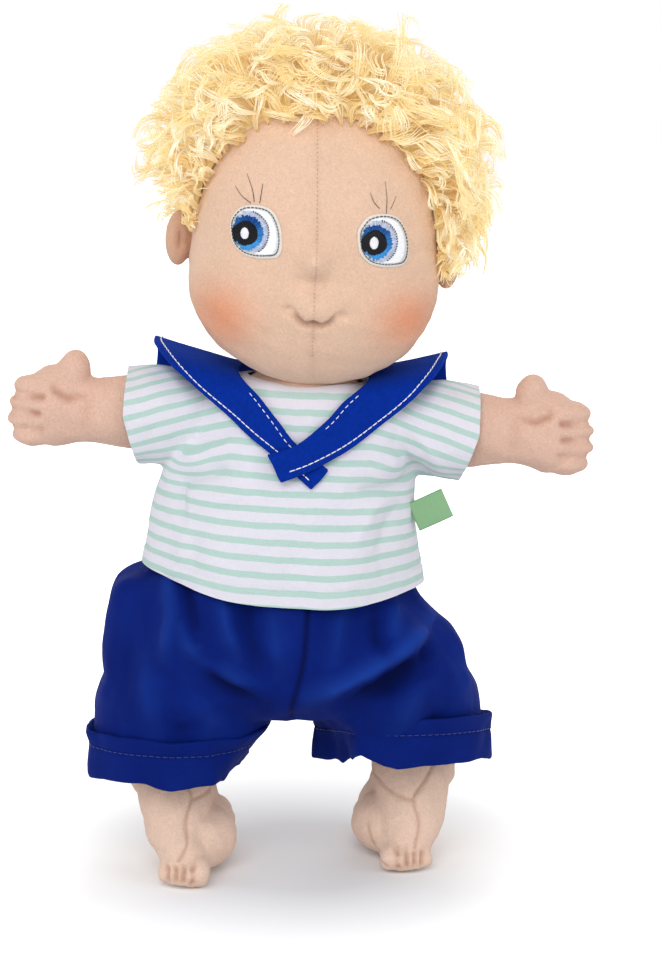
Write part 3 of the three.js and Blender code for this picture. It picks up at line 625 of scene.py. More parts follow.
def on_front(x, z):
    """The point of the plain head outline that faces forward at this x and z."""
    x, z = np.broadcast_arrays(np.asarray(x, float), np.asarray(z, float))
    rise = z - HEAD_MIDDLE[2]
    height = np.where(rise > 0, HEAD_ABOVE, HEAD_BELOW)
    left = 1 - np.abs(x / HEAD_HALF[0]) ** HEAD_SQUARENESS - np.abs(rise / height) ** HEAD_SQUARENESS
    depth = HEAD_HALF[1] * np.maximum(left, 0) ** (1 / HEAD_SQUARENESS)
    return np.stack([x, HEAD_MIDDLE[1] - depth, z], axis=-1)


def bulge(places, centre, size, height):
    """A soft bump or hollow on the face, centred at x and z, with a width and a height of its own."""
    across = (places[:, 0] - centre[0]) / size[0]
    up = (places[:, 2] - centre[1]) / size[1]
    in_front = smooth_step(HEAD_MIDDLE[1] - places[:, 1], 0, FACE_FADE)
    return height * np.exp(-(across**2) - up**2) * in_front


def bulges(places, forms):
    return sum(bulge(places, *form) for form in forms)


bpy.ops.mesh.primitive_uv_sphere_add(segments=336, ring_count=210, radius=1)
head = settle(bpy.context.active_object, "head_skin_fleece")
heading = unit(points(head) * MM)
around = np.arctan2(heading[:, 0], -heading[:, 1])
around -= 0.42 * np.sin(around)
level = np.linalg.norm(heading[:, :2], axis=1)
heading = np.stack([level * np.sin(around), -level * np.cos(around), heading[:, 2]], axis=1)
shape = head_surface(heading)
print("head outline:", np.ptp(shape, axis=0).round(1), "mm")

# %% Face
NOSE = [((-0.9, 44.0), (4.4, 4.8), 6.8), ((-0.8, 46.2), (8.5, 7.5), 1.2), ((-0.6, 36.6), (7.0, 2.8), -1.4)]
LIPS = [((0, 28.0), (7.6, 6.2), 2.6), ((0, 30.0), (13, 9), 0.8)]
CHIN = [((0.6, 11), (15, 9), 0.9), ((0, 0), (26, 7), 2.2)]
CHEEKS = [((-27, 23), (16, 14), 0.9), ((28, 24), (16, 14), 0.9)]
DIMPLES = [((-9.4, 26.6), (2.0, 1.6), -1.6), ((9.9, 25.7), (2.0, 1.6), -1.6)]
BLUSH = [((-33.5, 22.5), (11.5, 10.5), 0.78), ((34.5, 24.5), (11.5, 10.5), 0.82), ((-30, 14), (9, 7), 0.2)]
BLUSH_MOST = 0.9
SMILE = curve_through([
    (-9.0, 26.2), (-7.2, 24.6), (-5.2, 22.7), (-2.8, 21.4), (-0.1, 21.9), (2.8, 21.1), (5.6, 22.3),
    (7.6, 24.2), (9.5, 25.3),
], 41)
FACE_SEAM = curve_through([
    (-3.7, 96), (-2.0, 69.4), (-1.0, 52.1), (-0.6, 40), (-0.1, 24), (0.6, 10), (1.5, 0),
], 40)
push = bulges(shape, NOSE + LIPS + CHIN + CHEEKS + DIMPLES)
push += 0.4 * lumps(shape, 34, 11) + 0.16 * lumps(shape, 9, 12)
set_points(head, shape + unit(shape - HEAD_MIDDLE) * push[:, None])
smile_fold = sink(head, on_front(*SMILE.T) - [0, 2.2, 0], 2.3, 1.35)
seam_fold = sink(head, on_front(*FACE_SEAM.T) - [0, 1.2, 0], 0.35, 1.5)
face_points = points(head)
set_points(head, place(head_frame, face_points))
face_outward(head)
# Painted shade in the smile crease and along the face seam.
set_attribute(head, "fold", np.clip(0.8 * smile_fold**1.3 + 0.16 * seam_fold, 0, 1))
set_attribute(head, "blush", np.clip(bulges(shape, BLUSH), 0, BLUSH_MOST))
dress(head, "head", "velour", face_fleece, "head_skin", "head_filling")

# %% [markdown]
# The neck is a short stuffed tube that closes the body. Only a narrow strip of it shows between the
# chin and the collar, so it is a plain covered ball and stem.

# %% Neck
neck_balls = add_balls([((1, 0, 96), (12.6, 12.6, 12)), ((1, 0, 104), (12.8, 12.8, 12.5))], upper)
neck_balls.append(add_ball((1, 0, 116), (16.6, 16.6, 16.6), upper))
neck = cover(neck_balls, "neck_fleece", 1.0, 6)
# The whole neck gets half the painted shade, for the shade under the chin.
set_attribute(neck, "fold", np.full(len(neck.data.vertices), 0.5))
dress(neck, "neck", "velour", skin_fleece, "neck")

# %% [markdown]
# The body is a bag of fleece, sewn shut around wadding and a smaller bag of granulate in the seat.
# It hardly shows, but it carries the clothes, so it has the real volume, and a seam down its front.

# %% Body
BODY = [
    (-5, 0.55, 0.42, 5), (4, 0.8, 0.64, 4), (18, 0.95, 0.86, 2), (32, 0.93, 0.95, 0),
    (50, 0.87, 0.91, 0), (70, 0.91, 0.87, 0), (88, 0.93, 0.73, 0), (99, 0.82, 0.6, 0),
    (104, 0.62, 0.54, 0), (109.5, 0.54, 0.58, -2),
]
BODY_HALF = (42, 33)
body_stations = [((0, y, z), (BODY_HALF[0] * w, BODY_HALF[1] * d, 7.5)) for z, w, d, y in BODY]
body = cover(add_balls(body_stations, upper, apart=4), "body_fleece", 1.3, 14)
body_fold = sink(body, place(upper, [(0, -40, z) for z in (0, 40, 100)]), 0.6, 6)
# Painted shade along the front seam.
set_attribute(body, "fold", 0.2 * body_fold)
dress(body, "torso", "velour", skin_fleece, "torso_skin", "torso_filling", "pellet_bag")

# %% [markdown]
# Both arms are held out to the sides. The hand is a soft mitten: a round palm, a thumb lobe on top
# and four finger lobes in a row along its end, which are drawn apart by stitches pulled tight
# through the whole hand.

# %% Places of the arms and hands
ARM_SIDES = {"left": 1, "right": -1}
SHOULDER = (42, 0, 97)
ARM = [
    ((0, 0, 0), (15.2, 13.6, 15.2)), ((16, -1, 0), (13, 13.2, 14.6)), ((34, -2, 0.2), (11, 11.4, 12.2)),
    ((42, -2.6, 0.6), (11, 10.4, 13)), ((50, -3, 1), (13, 10.6, 15.4)),
]
THUMB = ((43, -4, 13.6), (6.4, 6.2, 9))
THUMB_LINE = [(38, -13, 7.5), (44, -13, 5.5), (49, -13, 8), (50.5, -13, 14)]
WRIST_LINE = [(37, -14, -8), (37, -15, 0), (37, -14, 8)]
FINGERS = 4
FINGER_RADII = (8.2, 7.2, 4.4)


def arm_point(side, x, y, z):
    return (side * (SHOULDER[0] + x), y, SHOULDER[2] + z)


def finger_end(side, finger):
    """The middle of a finger lobe; the row of fingers is bowed."""
    share = finger / (FINGERS - 1) - 0.5
    return arm_point(side, 59.4 - 9 * share * share, -3, -19 * share - 1)


# %% Arms and hands
for name, side in ARM_SIDES.items():
    knuckles = [finger_end(side, finger) for finger in range(FINGERS)]
    balls = add_balls([(arm_point(side, *spot), radii) for spot, radii in ARM], upper)
    balls += [add_ball(spot, FINGER_RADII, upper) for spot in knuckles]
    balls.append(add_ball(arm_point(side, *THUMB[0]), THUMB[1], upper))
    arm = cover(balls, f"{name}_shaded_arm_fleece", 0.8, 5)
    fold = np.zeros(len(arm.data.vertices))
    for above, below in zip(knuckles[:-1], knuckles[1:]):
        between = (np.array(above) + below) / 2
        for face in (-1, 1):
            offsets = [(side * 9, 0, 0), (side * 6, face * 7, 0), (-side * 4, face * 9.5, 0)]
            line = [between + offset for offset in offsets]
            fold = np.maximum(fold, sink(arm, place(upper, line), 1.5, 1.3))
    thumb_line = [arm_point(side, *spot) for spot in THUMB_LINE]
    fold = np.maximum(fold, sink(arm, place(upper, thumb_line), 1.2, 1.5))
    wrist_line = [arm_point(side, *spot) for spot in WRIST_LINE]
    fold = np.maximum(fold, 0.5 * sink(arm, place(upper, wrist_line), 0.7, 2.2))
    places = points(arm)
    push_out(arm, 0.3 * lumps(places, 14, 21) + 0.12 * lumps(places, 6, 22))
    finish_with(arm, "SMOOTH", factor=0.4, iterations=2)
    # Painted shade in the stitched lines between the fingers, at the thumb and round the wrist.
    set_attribute(arm, "fold", np.clip(fold, 0, 1))
    dress(arm, f"{name}_arm", "velour", shaded_arm_fleece, f"{name}_arm_skin", f"{name}_arm_filling")

# %% [markdown]
# The legs are short. Each ends in a foot with a round heel and five toe lobes, stitched apart like
# the fingers, and its sole is pressed flat by standing. A shin seam runs down the front to the toes.

# %% Places of the legs
LEGS = {
    "left": {
        "side": 1, "hip": (23, 2, 74), "knee": (44, 12), "ankle": 40, "heel": (34, 32), "out": 9,
        "shin": (43, 0, 18), "inner": (31.8, 8, 12.5),
    },
    "right": {
        "side": -1, "hip": (-31, 2, 74), "knee": (-49, 3), "ankle": -45, "heel": (-37, 14), "out": 8,
        "shin": (-46, -12, 18), "inner": (-35.4, -10, 12.5),
    },
}
LEG_SEAMS = {
    "left": [
        ([(51, 46), (50, 39.6), (46.3, 33), (42.2, 27), (44.3, 18.5), (42.8, 10)], 1.0),
        ([(26, 33.5), (34, 28.6), (42.2, 26.4)], 0.9), ([(24.8, 15), (27, 8), (32, 3.5)], 0.8),
    ],
    "right": [
        ([(-43.0, 44), (-43.0, 36), (-41.3, 30), (-43.3, 23), (-42.5, 16), (-45.5, 11)], 1.0),
        ([(-41.3, 29.5), (-35.5, 30.5), (-30, 31.5)], 0.8),
    ],
}
FOOT_LENGTH = 46
FOOT = [(-0.13, 9.5, 10.5), (0.1, 11.6, 12.6), (0.4, 11.6, 12), (0.72, 11, 9), (0.92, 9.5, 6.6)]
TOES = 5
TOE_RADIUS = 3.7
FLOOR_GAP = 0.3
print("legs:", list(LEGS), "with", TOES, "toes each")


def foot_lines(plan):
    """The middle of the heel, and the directions ahead along the foot and across it."""
    turn = math.radians(plan["out"])
    ahead = np.array([plan["side"] * math.sin(turn), -math.cos(turn), 0])
    return np.array([*plan["heel"], 0]), ahead, np.array([-ahead[1], ahead[0], 0])


def toe_places(plan):
    """Each toe's middle on the floor and its radius; the big toe is on the foot's inner side."""
    heel, ahead, across = foot_lines(plan)
    found = []
    for toe in range(TOES):
        share = toe / (TOES - 1) - 0.5
        big = 1 + 0.5 * abs(share) if plan["side"] * share < 0 else 1 - 0.3 * abs(share)
        centre = heel + ahead * FOOT_LENGTH * (1.05 - 0.2 * share * share) + across * share * 13
        found.append((centre, TOE_RADIUS * big))
    return found


# %% Balls of a leg and its foot
def leg_balls(plan):
    heel, ahead, _ = foot_lines(plan)
    turn = plan["side"] * math.radians(plan["out"])
    knee, back = plan["knee"], plan["heel"][1]
    tube = [
        (plan["hip"], (17.4, 17.4, 17.4)), ((*knee, 47), (16.8, 16.8, 12)), ((*knee, 32), (16.2, 16.2, 10)),
        ((plan["ankle"], back - 9, 22), (14, 14.6, 8)), ((plan["heel"][0], back - 5, 13), (12, 13, 10)),
    ]
    sole = [(heel + ahead * t * FOOT_LENGTH + [0, 0, h], (w, 9, h)) for t, w, h in FOOT]
    toe_root = heel + ahead * FOOT_LENGTH * 0.9 + [0, 0, 8]
    slope = [((*knee, 44), (16.6, 16.6, 14)), (plan["shin"], (12.8, 12.5, 12.5)), (toe_root, (8.5, 8, 7))]
    balls = add_balls(tube, standing) + add_balls(sole, standing, turn) + add_balls(slope, standing)
    balls.append(add_ball(plan["inner"], (11.8, 16, 11.8), standing, turn))
    for centre, radius in toe_places(plan):
        radii = (radius * 0.95, radius * 1.25, radius * 1.15)
        balls.append(add_ball(centre + [0, 0, radius + 1.2], radii, standing))
    return balls


# %% Legs and feet
for name, plan in LEGS.items():
    leg = cover(leg_balls(plan), f"{name}_leg_fleece", 0.8, 11)
    ahead = foot_lines(plan)[1]
    toes = [centre + [0, 0, radius] for centre, radius in toe_places(plan)]
    fold = np.zeros(len(leg.data.vertices))
    for first, second in zip(toes[:-1], toes[1:]):
        middle = (first + second) / 2
        line = [middle + ahead * 5 - [0, 0, 3], middle + ahead * 4 + [0, 0, 4]]
        line.append(middle - ahead * 3 + [0, 0, 6.5])
        fold = np.maximum(fold, sink(leg, place(standing, line), 1.3, 1.1))
    skin = surface_of(leg)
    for line, depth in LEG_SEAMS[name]:
        rays = [(Vector((x, -200, z)), Vector((0, 1, 0))) for x, z in curve_through(line, 24)]
        seam = [spot for spot, *_ in (skin.ray_cast(*ray) for ray in rays) if spot]
        fold = np.maximum(fold, 0.6 * sink(leg, seam, depth, 0.7))
    places = points(leg)
    places += normals(leg) * (0.3 * lumps(places, 14, 31) + 0.12 * lumps(places, 6, 32))[:, None]
    places[:, 2] = np.maximum(places[:, 2], FLOOR_GAP)
    set_points(leg, places)
    # Painted shade between the toes and along the sewn lines of the legs.
    set_attribute(leg, "fold", np.clip(fold, 0, 1))
    dress(leg, f"{name}_leg", "velour", skin_fleece, f"{name}_leg_skin", f"{name}_leg_filling")

# %% [markdown]
# Clothes are thin shells over the body. Each garment starts as closed lofts, which are tubes drawn
# through rings, joined and covered with one even skin. Folds are pushed and pulled into that skin,
# then it is trimmed along its hem and openings and given the thickness of the cloth. The trim cuts
# where a value given for each point passes zero, so an edge may follow any curve. A cut between two
# pieces of one garment keeps the old shading on both sides, so that no line shows there.

# %% Helpers for clothes
def loft(name, rings):
    """A closed tube through rings of points, with a flat end at both sides."""
    rings = np.asarray(rings, float)
    index = np.arange(rings.shape[0] * rings.shape[1]).reshape(rings.shape[:2])
    following = np.roll(index, -1, axis=1)
    quads = np.stack([index[:-1], following[:-1], following[1:], index[1:]], axis=-1).reshape(-1, 4)
    faces = [*quads.tolist(), index[0, ::-1].tolist(), index[-1].tolist()]
    obj = mesh_piece(name, rings.reshape(-1, 3), faces)
    face_outward(obj)
    return obj


def oval(z, rx, ry, cx=0.0, cy=0.0, slope=0.0, tilt=0.0, ripple=0.0, waves=9, phase=0.0, count=96):
    """A rippled oval ring; slope raises it along y, and tilt along x."""
    turn = np.arange(count) * 2 * math.pi / count
    grow = ripple * np.cos(waves * turn + phase)
    x = (rx + grow) * np.cos(turn)
    y = (ry + grow) * np.sin(turn)
    return np.stack([cx + x, cy + y, z + tilt * x + slope * y], axis=1)


# %% Helpers to cut and thicken cloth
def take_vectors(obj, name):
    """Reads vectors stored on the points and removes them from the mesh."""
    kept = read_three(obj.data.attributes[name].data, "vector")
    obj.data.attributes.remove(obj.data.attributes[name])
    return kept


def trim(obj, field):
    """Cuts the mesh where the field passes zero and keeps the side above it."""
    home = points(obj)
    set_attribute(obj, "home", home, "FLOAT_VECTOR")
    set_points(obj, np.column_stack([home[:, :2], field]))
    work = bmesh.new()
    work.from_mesh(obj.data)
    everything = work.verts[:] + work.edges[:] + work.faces[:]
    level = {"plane_co": (0, 0, 0), "plane_no": (0, 0, 1)}
    bmesh.ops.bisect_plane(work, geom=everything, dist=1e-9, clear_inner=True, **level)
    work.to_mesh(obj.data)
    work.free()
    set_points(obj, take_vectors(obj, "home"))
    return obj


def part_of(obj, field, name):
    """A copy of the cloth on one side of a cut, shaded as the whole was."""
    set_attribute(obj, "shading", normals(obj), "FLOAT_VECTOR")
    only(obj)
    bpy.ops.object.duplicate()
    part = bpy.context.active_object
    part.name = part.data.name = name
    obj.data.attributes.remove(obj.data.attributes["shading"])
    return trim(part, field)


def thicken(obj, wall):
    """Gives the cloth its thickness on the inside and keeps any shading carried from the whole."""
    finish_with(obj, "SOLIDIFY", thickness=wall * MM, offset=-1, use_even_offset=False)
    if "shading" in obj.data.attributes:
        kept = take_vectors(obj, "shading")
        kept[(kept * normals(obj)).sum(1) < 0] *= -1
        obj.data.normals_split_custom_set_from_vertices(unit(kept).tolist())
    return obj


# %% Helpers for sheets, edges and folds
def grid_sheet(name, rows, wall):
    """A sheet through rows of points, thickened evenly to both sides."""
    rows = np.asarray(rows, float)
    index = np.arange(rows.shape[0] * rows.shape[1]).reshape(rows.shape[:2])
    quads = np.stack([index[:-1, :-1], index[:-1, 1:], index[1:, 1:], index[1:, :-1]], axis=-1)
    sheet = mesh_piece(name, rows.reshape(-1, 3), quads.reshape(-1, 4).tolist())
    finish_with(sheet, "SOLIDIFY", thickness=wall * MM, offset=0, use_even_offset=False)
    face_outward(sheet)
    return sheet


def round_edges(obj, width):
    corner = math.radians(50)
    finish_with(obj, "BEVEL", width=width * MM, segments=2, limit_method="ANGLE", angle_limit=corner)


def press_folds(obj, folds, towards=-1, frame_matrix=None):
    """Adds ridges and valleys. Each one is a line of x and z, a height, and a width at its side.

    It gives back how deep in a valley, or how high on a ridge, each point lies, for painted shade
    in the valleys and, where a finish uses it, a painted highlight on the ridges.
    """
    places = points(obj)
    local = places if frame_matrix is None else unplace(frame_matrix, places)
    facing = smooth_step(towards * normals(obj)[:, 1], 0.05, 0.6)
    flat = local * [1, 0, 1]
    total = np.zeros(len(places))
    valley = np.zeros(len(places))
    ridge = np.zeros(len(places))
    for line, height, width in folds:
        path = curve_through([(x, 0, z) for x, z in line], 12)
        near = distance_to(path, flat) / width
        ends = np.minimum(np.linalg.norm(flat - path[0], axis=1), np.linalg.norm(flat - path[-1], axis=1))
        shape = np.exp(-(near**1.6)) * (0.45 + 0.55 * smooth_step(ends, 0, 2.5 * width))
        total += height * shape
        side = valley if height < 0 else ridge
        np.maximum(side, min(abs(height) / 4, 1) * shape * facing, out=side)
    push_out(obj, total * facing)
    return np.clip(valley - 0.7 * ridge, -1, 1)


# %% [markdown]
# The shirt is plain woven cotton, off-white with mint stripes about six millimetres apart. It is
# cut in one with its sleeves, so the stripes run on from the chest along the arms and droop with
# them. The stripes and threads read a stored pattern place in millimetres: round the body or along
# the arm, and up the cloth. The sleeves are cut off as pieces of their own.

# %% Shirt form
SHIRT = [
    (4, 54, 41, -4.2), (26, 53.8, 41, -4.1), (36, 53.4, 40.5, -4.1), (50, 51.2, 39.5, -4.8),
    (65, 49, 36, -4.8), (78, 46.6, 33, -3.6), (90, 44.5, 29.5, -1), (101, 43, 26.5, 0),
    (107.5, 39, 24, 0), (111.5, 32, 21.5, 0), (113.2, 26, 19.5, 0.5), (113.6, 22, 16, 0.5),
]
SLEEVE_END = 23.5
SLEEVE_HIGH = SHOULDER[2] - 0.5
SLEEVE = [(-22, 13, 13), (-10, 15.5, 15), (2, 17.5, 16.4), (12, 18.4, 17), (SLEEVE_END + 7, 18.6, 17.4)]
SLEEVE_POINTS = 72
shirt_rings = []
for z, rx, ry, cx in curve_through(SHIRT, 64):
    hang = smooth_step(100 - z, 0, 60)
    shirt_rings.append(place(upper, oval(z, rx, ry, cx, ripple=0.7 * hang, waves=7, phase=1.0)))
lofts = [loft("shirt_body_form", shirt_rings)]
turns = np.arange(SLEEVE_POINTS) * 2 * math.pi / SLEEVE_POINTS
for name, side in ARM_SIDES.items():
    rings = []
    for x, tall, deep in curve_through(SLEEVE, 26):
        ripple = 0.5 * smooth_step(x, 5, 25) * np.cos(5 * turns + 0.8 * side)
        across = np.full(SLEEVE_POINTS, side * (SHOULDER[0] + x))
        sag = 0.02 * x * x * 0.12
        up = SLEEVE_HIGH + (tall + ripple) * np.sin(turns) - sag
        rings.append(place(upper, np.stack([across, (deep + ripple) * np.cos(turns), up], axis=1)))
    lofts.append(loft(f"{name}_sleeve_form", rings))
shirt = cover(lofts, "shirt_cloth", 0.95, 22)
print("shirt form:", len(shirt.data.polygons), "faces")

# %% Shirt folds
FRONT_FOLDS = [
    ([(-46, 75), (-36, 78), (-24, 84)], -2.8, 2.4), ([(-49, 81), (-37, 85), (-20, 93)], 2.0, 3.4),
    ([(-42, 71), (-30, 70.5), (-16, 74)], 1.5, 3.2), ([(-43.5, 76), (-42.5, 70), (-41.5, 62)], -2.6, 2.0),
    ([(-40, 66), (-41, 54), (-43, 42)], 1.0, 3.5), ([(-36, 60), (-37, 50), (-37, 42)], -0.8, 3.0),
    ([(44, 82), (34, 77), (20, 76.5)], -2.6, 2.2), ([(50, 78), (42, 84), (34, 92)], -2.0, 2.2),
    ([(42, 88), (30, 84.5), (16, 85)], 1.8, 3.2), ([(37, 76), (28, 69), (22, 58)], 1.6, 3.2),
    ([(52, 84), (47, 91), (40, 99)], 1.6, 2.6), ([(36, 70), (33, 62), (32, 52)], -1.2, 3.0),
    ([(34, 62), (32, 50), (33, 36)], -0.7, 5.0), ([(14, 66), (10, 52), (12, 36)], 0.7, 6.0),
    ([(-14, 66), (-16, 50), (-14, 34)], -0.6, 6.0), ([(0, 70), (-2, 56), (2, 40)], -0.5, 6.0),
]
shirt_valleys = press_folds(shirt, FRONT_FOLDS, -1, upper)
BACK_FOLDS = [
    ([(-42, 78), (-30, 80), (-18, 86)], -1.3, 3.5), ([(42, 78), (30, 80), (18, 86)], -1.3, 3.5),
    ([(-40, 70), (-26, 66), (-16, 56)], 1.0, 5.0), ([(40, 70), (26, 66), (16, 56)], 1.0, 5.0),
    ([(-32, 60), (-34, 46), (-32, 34)], -0.8, 5.0), ([(32, 60), (34, 46), (32, 34)], -0.8, 5.0),
]
shirt_valleys += press_folds(shirt, BACK_FOLDS, 1, upper)
cloth_points = points(shirt)
in_upper = unplace(upper, cloth_points)
push_out(shirt, 0.35 * lumps(cloth_points, 30, 41) + 0.12 * lumps(cloth_points, 9, 42))
print("shirt folds:", len(FRONT_FOLDS), "in front and", len(BACK_FOLDS), "behind")

# %% Shirt pattern
STRIPE_DROOP = 0.33
SLEEVE_ROUND = 17.5
BODY_ROUND = 44
HEM_HEIGHT = 40.6
HEM_TILT = 0.03
HEM_DIP = 6.8
HEM_BAND = 6.0
x, y, z = in_upper.T
high_up = smooth_step(z, 70, 88)
on_sleeve = smooth_step(np.abs(x), 30, 46) * high_up
lift = z - SHOULDER[2]
turn = np.arctan2(lift, -y)
turn = np.where(turn > math.pi / 2, math.pi - turn, turn)
turn = np.where(turn < -math.pi / 2, -math.pi - turn, turn)
pattern_up = z + on_sleeve * (SLEEVE_ROUND * turn - lift)
pattern_up += high_up * STRIPE_DROOP * np.maximum(np.abs(x) - 26, 0)
hem_height = HEM_HEIGHT - HEM_TILT * x - HEM_DIP * np.clip(-y / 40, 0, 1.05) ** 2
near_hem = 0.5 * np.exp(-(((z - 38) / 20) ** 2))
pattern_up -= near_hem * (hem_height - 35.2)
body_turn = np.arctan2(x + 3, -y)
pattern_round = (1 - on_sleeve) * body_turn * BODY_ROUND + on_sleeve * x
set_attribute(shirt, "cloth", np.column_stack([pattern_round, pattern_up, z * 0]), "FLOAT_VECTOR")
print("stripes run from", pattern_up.min().round(), "to", pattern_up.max().round(), "mm")

# %% [markdown]
# The hem is turned up and stitched once round. Above it the doubled cloth stands a little proud, and
# the stitches pull a fine line in. Then the cloth is cut at the hem, the cuffs of the sleeves and the
# neck, and parted at both armholes.

# %% Shirt hem, trim and pieces
above_hem = z - hem_height
on_body = (np.abs(x) < 60) * (z < 60)
stitched = np.exp(-(((above_hem - HEM_BAND) / 0.7) ** 2)) * on_body
doubled = (1 - smooth_step(above_hem, HEM_BAND - 0.4, HEM_BAND + 0.4)) * (z < 60)
push_out(shirt, 0.3 * doubled - 0.35 * stitched)
# Painted shade in the fold valleys and along the hem stitches.
set_attribute(shirt, "fold", np.clip(0.25 * stitched + 0.7 * shirt_valleys, 0, 1))
NECK_WIDE, NECK_FRONT, NECK_BACK = 21.5, 20.5, 17.5
neck_hole = ((x - 0.5) / NECK_WIDE) ** 2 + (y / np.where(y < 0, NECK_FRONT, NECK_BACK)) ** 2
neck_hole += 40 * (z < 100) - 1
cuff_line = SHOULDER[0] + SLEEVE_END + 0.3 * np.minimum(lift, 0) - np.abs(x)
cuff_line += 60 * (1 - smooth_step(z, 66, 74))
trim(shirt, np.minimum(np.minimum(above_hem, cuff_line), 12 * neck_hole))

SHIRT_CLOTH = 0.5
ARMHOLE = {name: np.array([side * 0.94, 0, 0.342]) for name, side in ARM_SIDES.items()}
BLEND_FROM, BLEND_TO = -7.0, 14.0


def past_armhole(places, name):
    """How far points are past the cut between body and sleeve, towards the hand."""
    shoulder = [ARM_SIDES[name] * SHOULDER[0], 0, SHOULDER[2]]
    beside = (unplace(upper, places) - shoulder) @ ARMHOLE[name]
    return np.where(ARM_SIDES[name] * unplace(upper, places)[:, 0] > 20, beside - BLEND_FROM, -5)


cloth_points = points(shirt)
arm_side = np.maximum(past_armhole(cloth_points, "left"), past_armhole(cloth_points, "right"))
shirt_body = thicken(part_of(shirt, -arm_side, "shirt_body"), SHIRT_CLOTH)
sleeves = {}
for name in ARM_SIDES:
    sleeve = part_of(shirt, past_armhole(cloth_points, name), f"{name}_shirt_sleeve")
    sleeves[name] = thicken(sleeve, SHIRT_CLOTH)
shirt_surface = surface_of(shirt)
bpy.data.objects.remove(shirt)
print("shirt cut into", [shirt_body.name, *(sleeve.name for sleeve in sleeves.values())])

# %% Striped cotton
STRIPE_PITCH = 5.8
STRIPE_SHARE = 0.4
STRIPE_EDGE = 0.035
STRIPE_START = 200.9
cotton, tree, shader = new_material("striped_cotton_cloth")
pattern = stored(tree, "cloth", "Vector")
wander = span(tree, noise(tree, pattern, 0.09, 1.0), 0, 1, -0.5, 0.5)
across = math_node(tree, "ADD", node(tree, "SeparateXYZ", {0: pattern}).outputs[1], wander)
phase = math_node(tree, "DIVIDE", math_node(tree, "ADD", across, STRIPE_START), STRIPE_PITCH)
from_middle = math_node(tree, "SUBTRACT", math_node(tree, "FRACT", phase), 0.5)
from_middle = math_node(tree, "ABSOLUTE", from_middle)
half_share = STRIPE_SHARE / 2
stripe = span(tree, from_middle, half_share - STRIPE_EDGE, half_share + STRIPE_EDGE, 1, 0, smooth=True)
threads = use_group(tree, weave, Vector=pattern, Pitch=0.42)
striped = mixed(tree, stripe, rgb(219, 217, 227), rgb(177, 205, 198))
# Painted shade: the stripes turn greyer where the stored shading is high.
painted_fold_colour = mixed(tree, span(tree, stored(tree, "fold"), 0, 1, 0, 0.5), striped, rgb(178, 196, 196))
bump_into(tree, shader, threads["Height"], 0.35, 0.12)
feed(tree, shader, {
    "Base Color": shaded(tree, painted_fold_colour, threads["Shade"]), "Roughness": 0.85, "Specular IOR Level": 0.25,
    "Sheen Weight": 0.12,
})
dress(shirt_body, "torso", "striped_cotton", cotton, "shirt_front", "shirt_back_left", "shirt_back_right")
for name, sleeve in sleeves.items():
    dress(sleeve, None, "striped_cotton", cotton, f"{name}_sleeve")
    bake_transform(sleeve)

# %% [markdown]
# The shorts are navy twill, wide and short, gathered on an elastic at the waist. Two halves meet in
# a sewn seam down the middle, front and back. The photographed folds run from the crotch up and
# out, over the thighs, with deep valleys below them, and soft pleats hang from the waist.

# %% Leg openings of the shorts
LEG_OPENINGS = {"left": (37, -0.5), "right": (-47, -4.5)}
PINCHES = {
    "left": {"towards": -157, "half": 37, "high": 68, "low": 44, "most": 1.7},
    "right": {"towards": -12, "half": 52, "high": 56, "low": 36, "most": 0.95},
}


def pinched(places, name):
    """Draws the inner side of a leg opening straight, so that the cloth has a sharp corner in front."""
    middle = np.array(LEG_OPENINGS[name])
    pinch = PINCHES[name]
    flat = places[:, :2] - middle
    turn = np.degrees(np.arctan2(flat[:, 1], flat[:, 0]))
    off = np.minimum(np.abs((turn - pinch["towards"] + 180) % 360 - 180), pinch["half"])
    chord = math.cos(math.radians(pinch["half"])) / np.cos(np.radians(off))
    amount = pinch["most"] * smooth_step(pinch["high"] - places[:, 2], 0, pinch["high"] - pinch["low"])
    moved = places.copy()
    moved[:, :2] = middle + flat * (1 - amount * (1 - chord))[:, None]
    return moved


# %% Shorts form
PELVIS = [
    (126, 45.2, 35, -4.4, 0, 0, 0, 0.7), (118, 46.5, 35.5, -5.8, 0, 0, -0.02, 0.9),
    (113, 49.5, 36, -8.2, 0, 0, -0.05, 1.0), (108.5, 55.5, 36.5, -10.8, 0, 0, -0.08, 1.3),
    (102, 62, 38.5, -9.2, 0, 0, -0.1, 1.5), (92, 66.5, 41.5, -7.7, 0, 0, -0.03, 1.2),
    (80, 69, 40.5, -6.4, 0, 0, 0, 0.7), (70, 66, 36, -5, 0, 0, 0, 0), (61, 40, 24, -4, 0, 0, 0, 0),
]
LEG_TUBES = {
    "left": [
        (86, 25, 29, 33, 0, 0), (72, 33, 34.5, 33.2, 1, 0), (60, 33.8, 32.6, 35, 4, 0),
        (50, 32.5, 31, 38, 4, -0.16), (38, 32, 30.5, 39, 4, -0.2),
    ],
    "right": [
        (86, 26, 29, -40, 0, 0), (72, 34.5, 35.5, -41, 0, 0), (59, 33.8, 32.6, -44, 0, 0),
        (46, 32.5, 31, -46, 0, -0.05), (34, 32, 30.5, -46.5, 0, -0.05),
    ],
}
rings = [place(standing, oval(*row)) for row in curve_through(PELVIS, 40)]
lofts = [loft("pelvis_form", rings)]
for name, stations in LEG_TUBES.items():
    rings = [place(standing, oval(*row)) for row in curve_through(stations, 30)]
    lofts.append(loft(f"{name}_leg_form", rings))
shorts = cover(lofts, "shorts_cloth", 1.0, 18)
cloth_points = points(shorts)
beside_left = cloth_points[:, 0] > HIPS_MIDDLE[0]
cloth_points[beside_left] = pinched(cloth_points[beside_left], "left")
cloth_points[~beside_left] = pinched(cloth_points[~beside_left], "right")
set_points(shorts, cloth_points)
print("shorts form:", len(shorts.data.polygons), "faces")

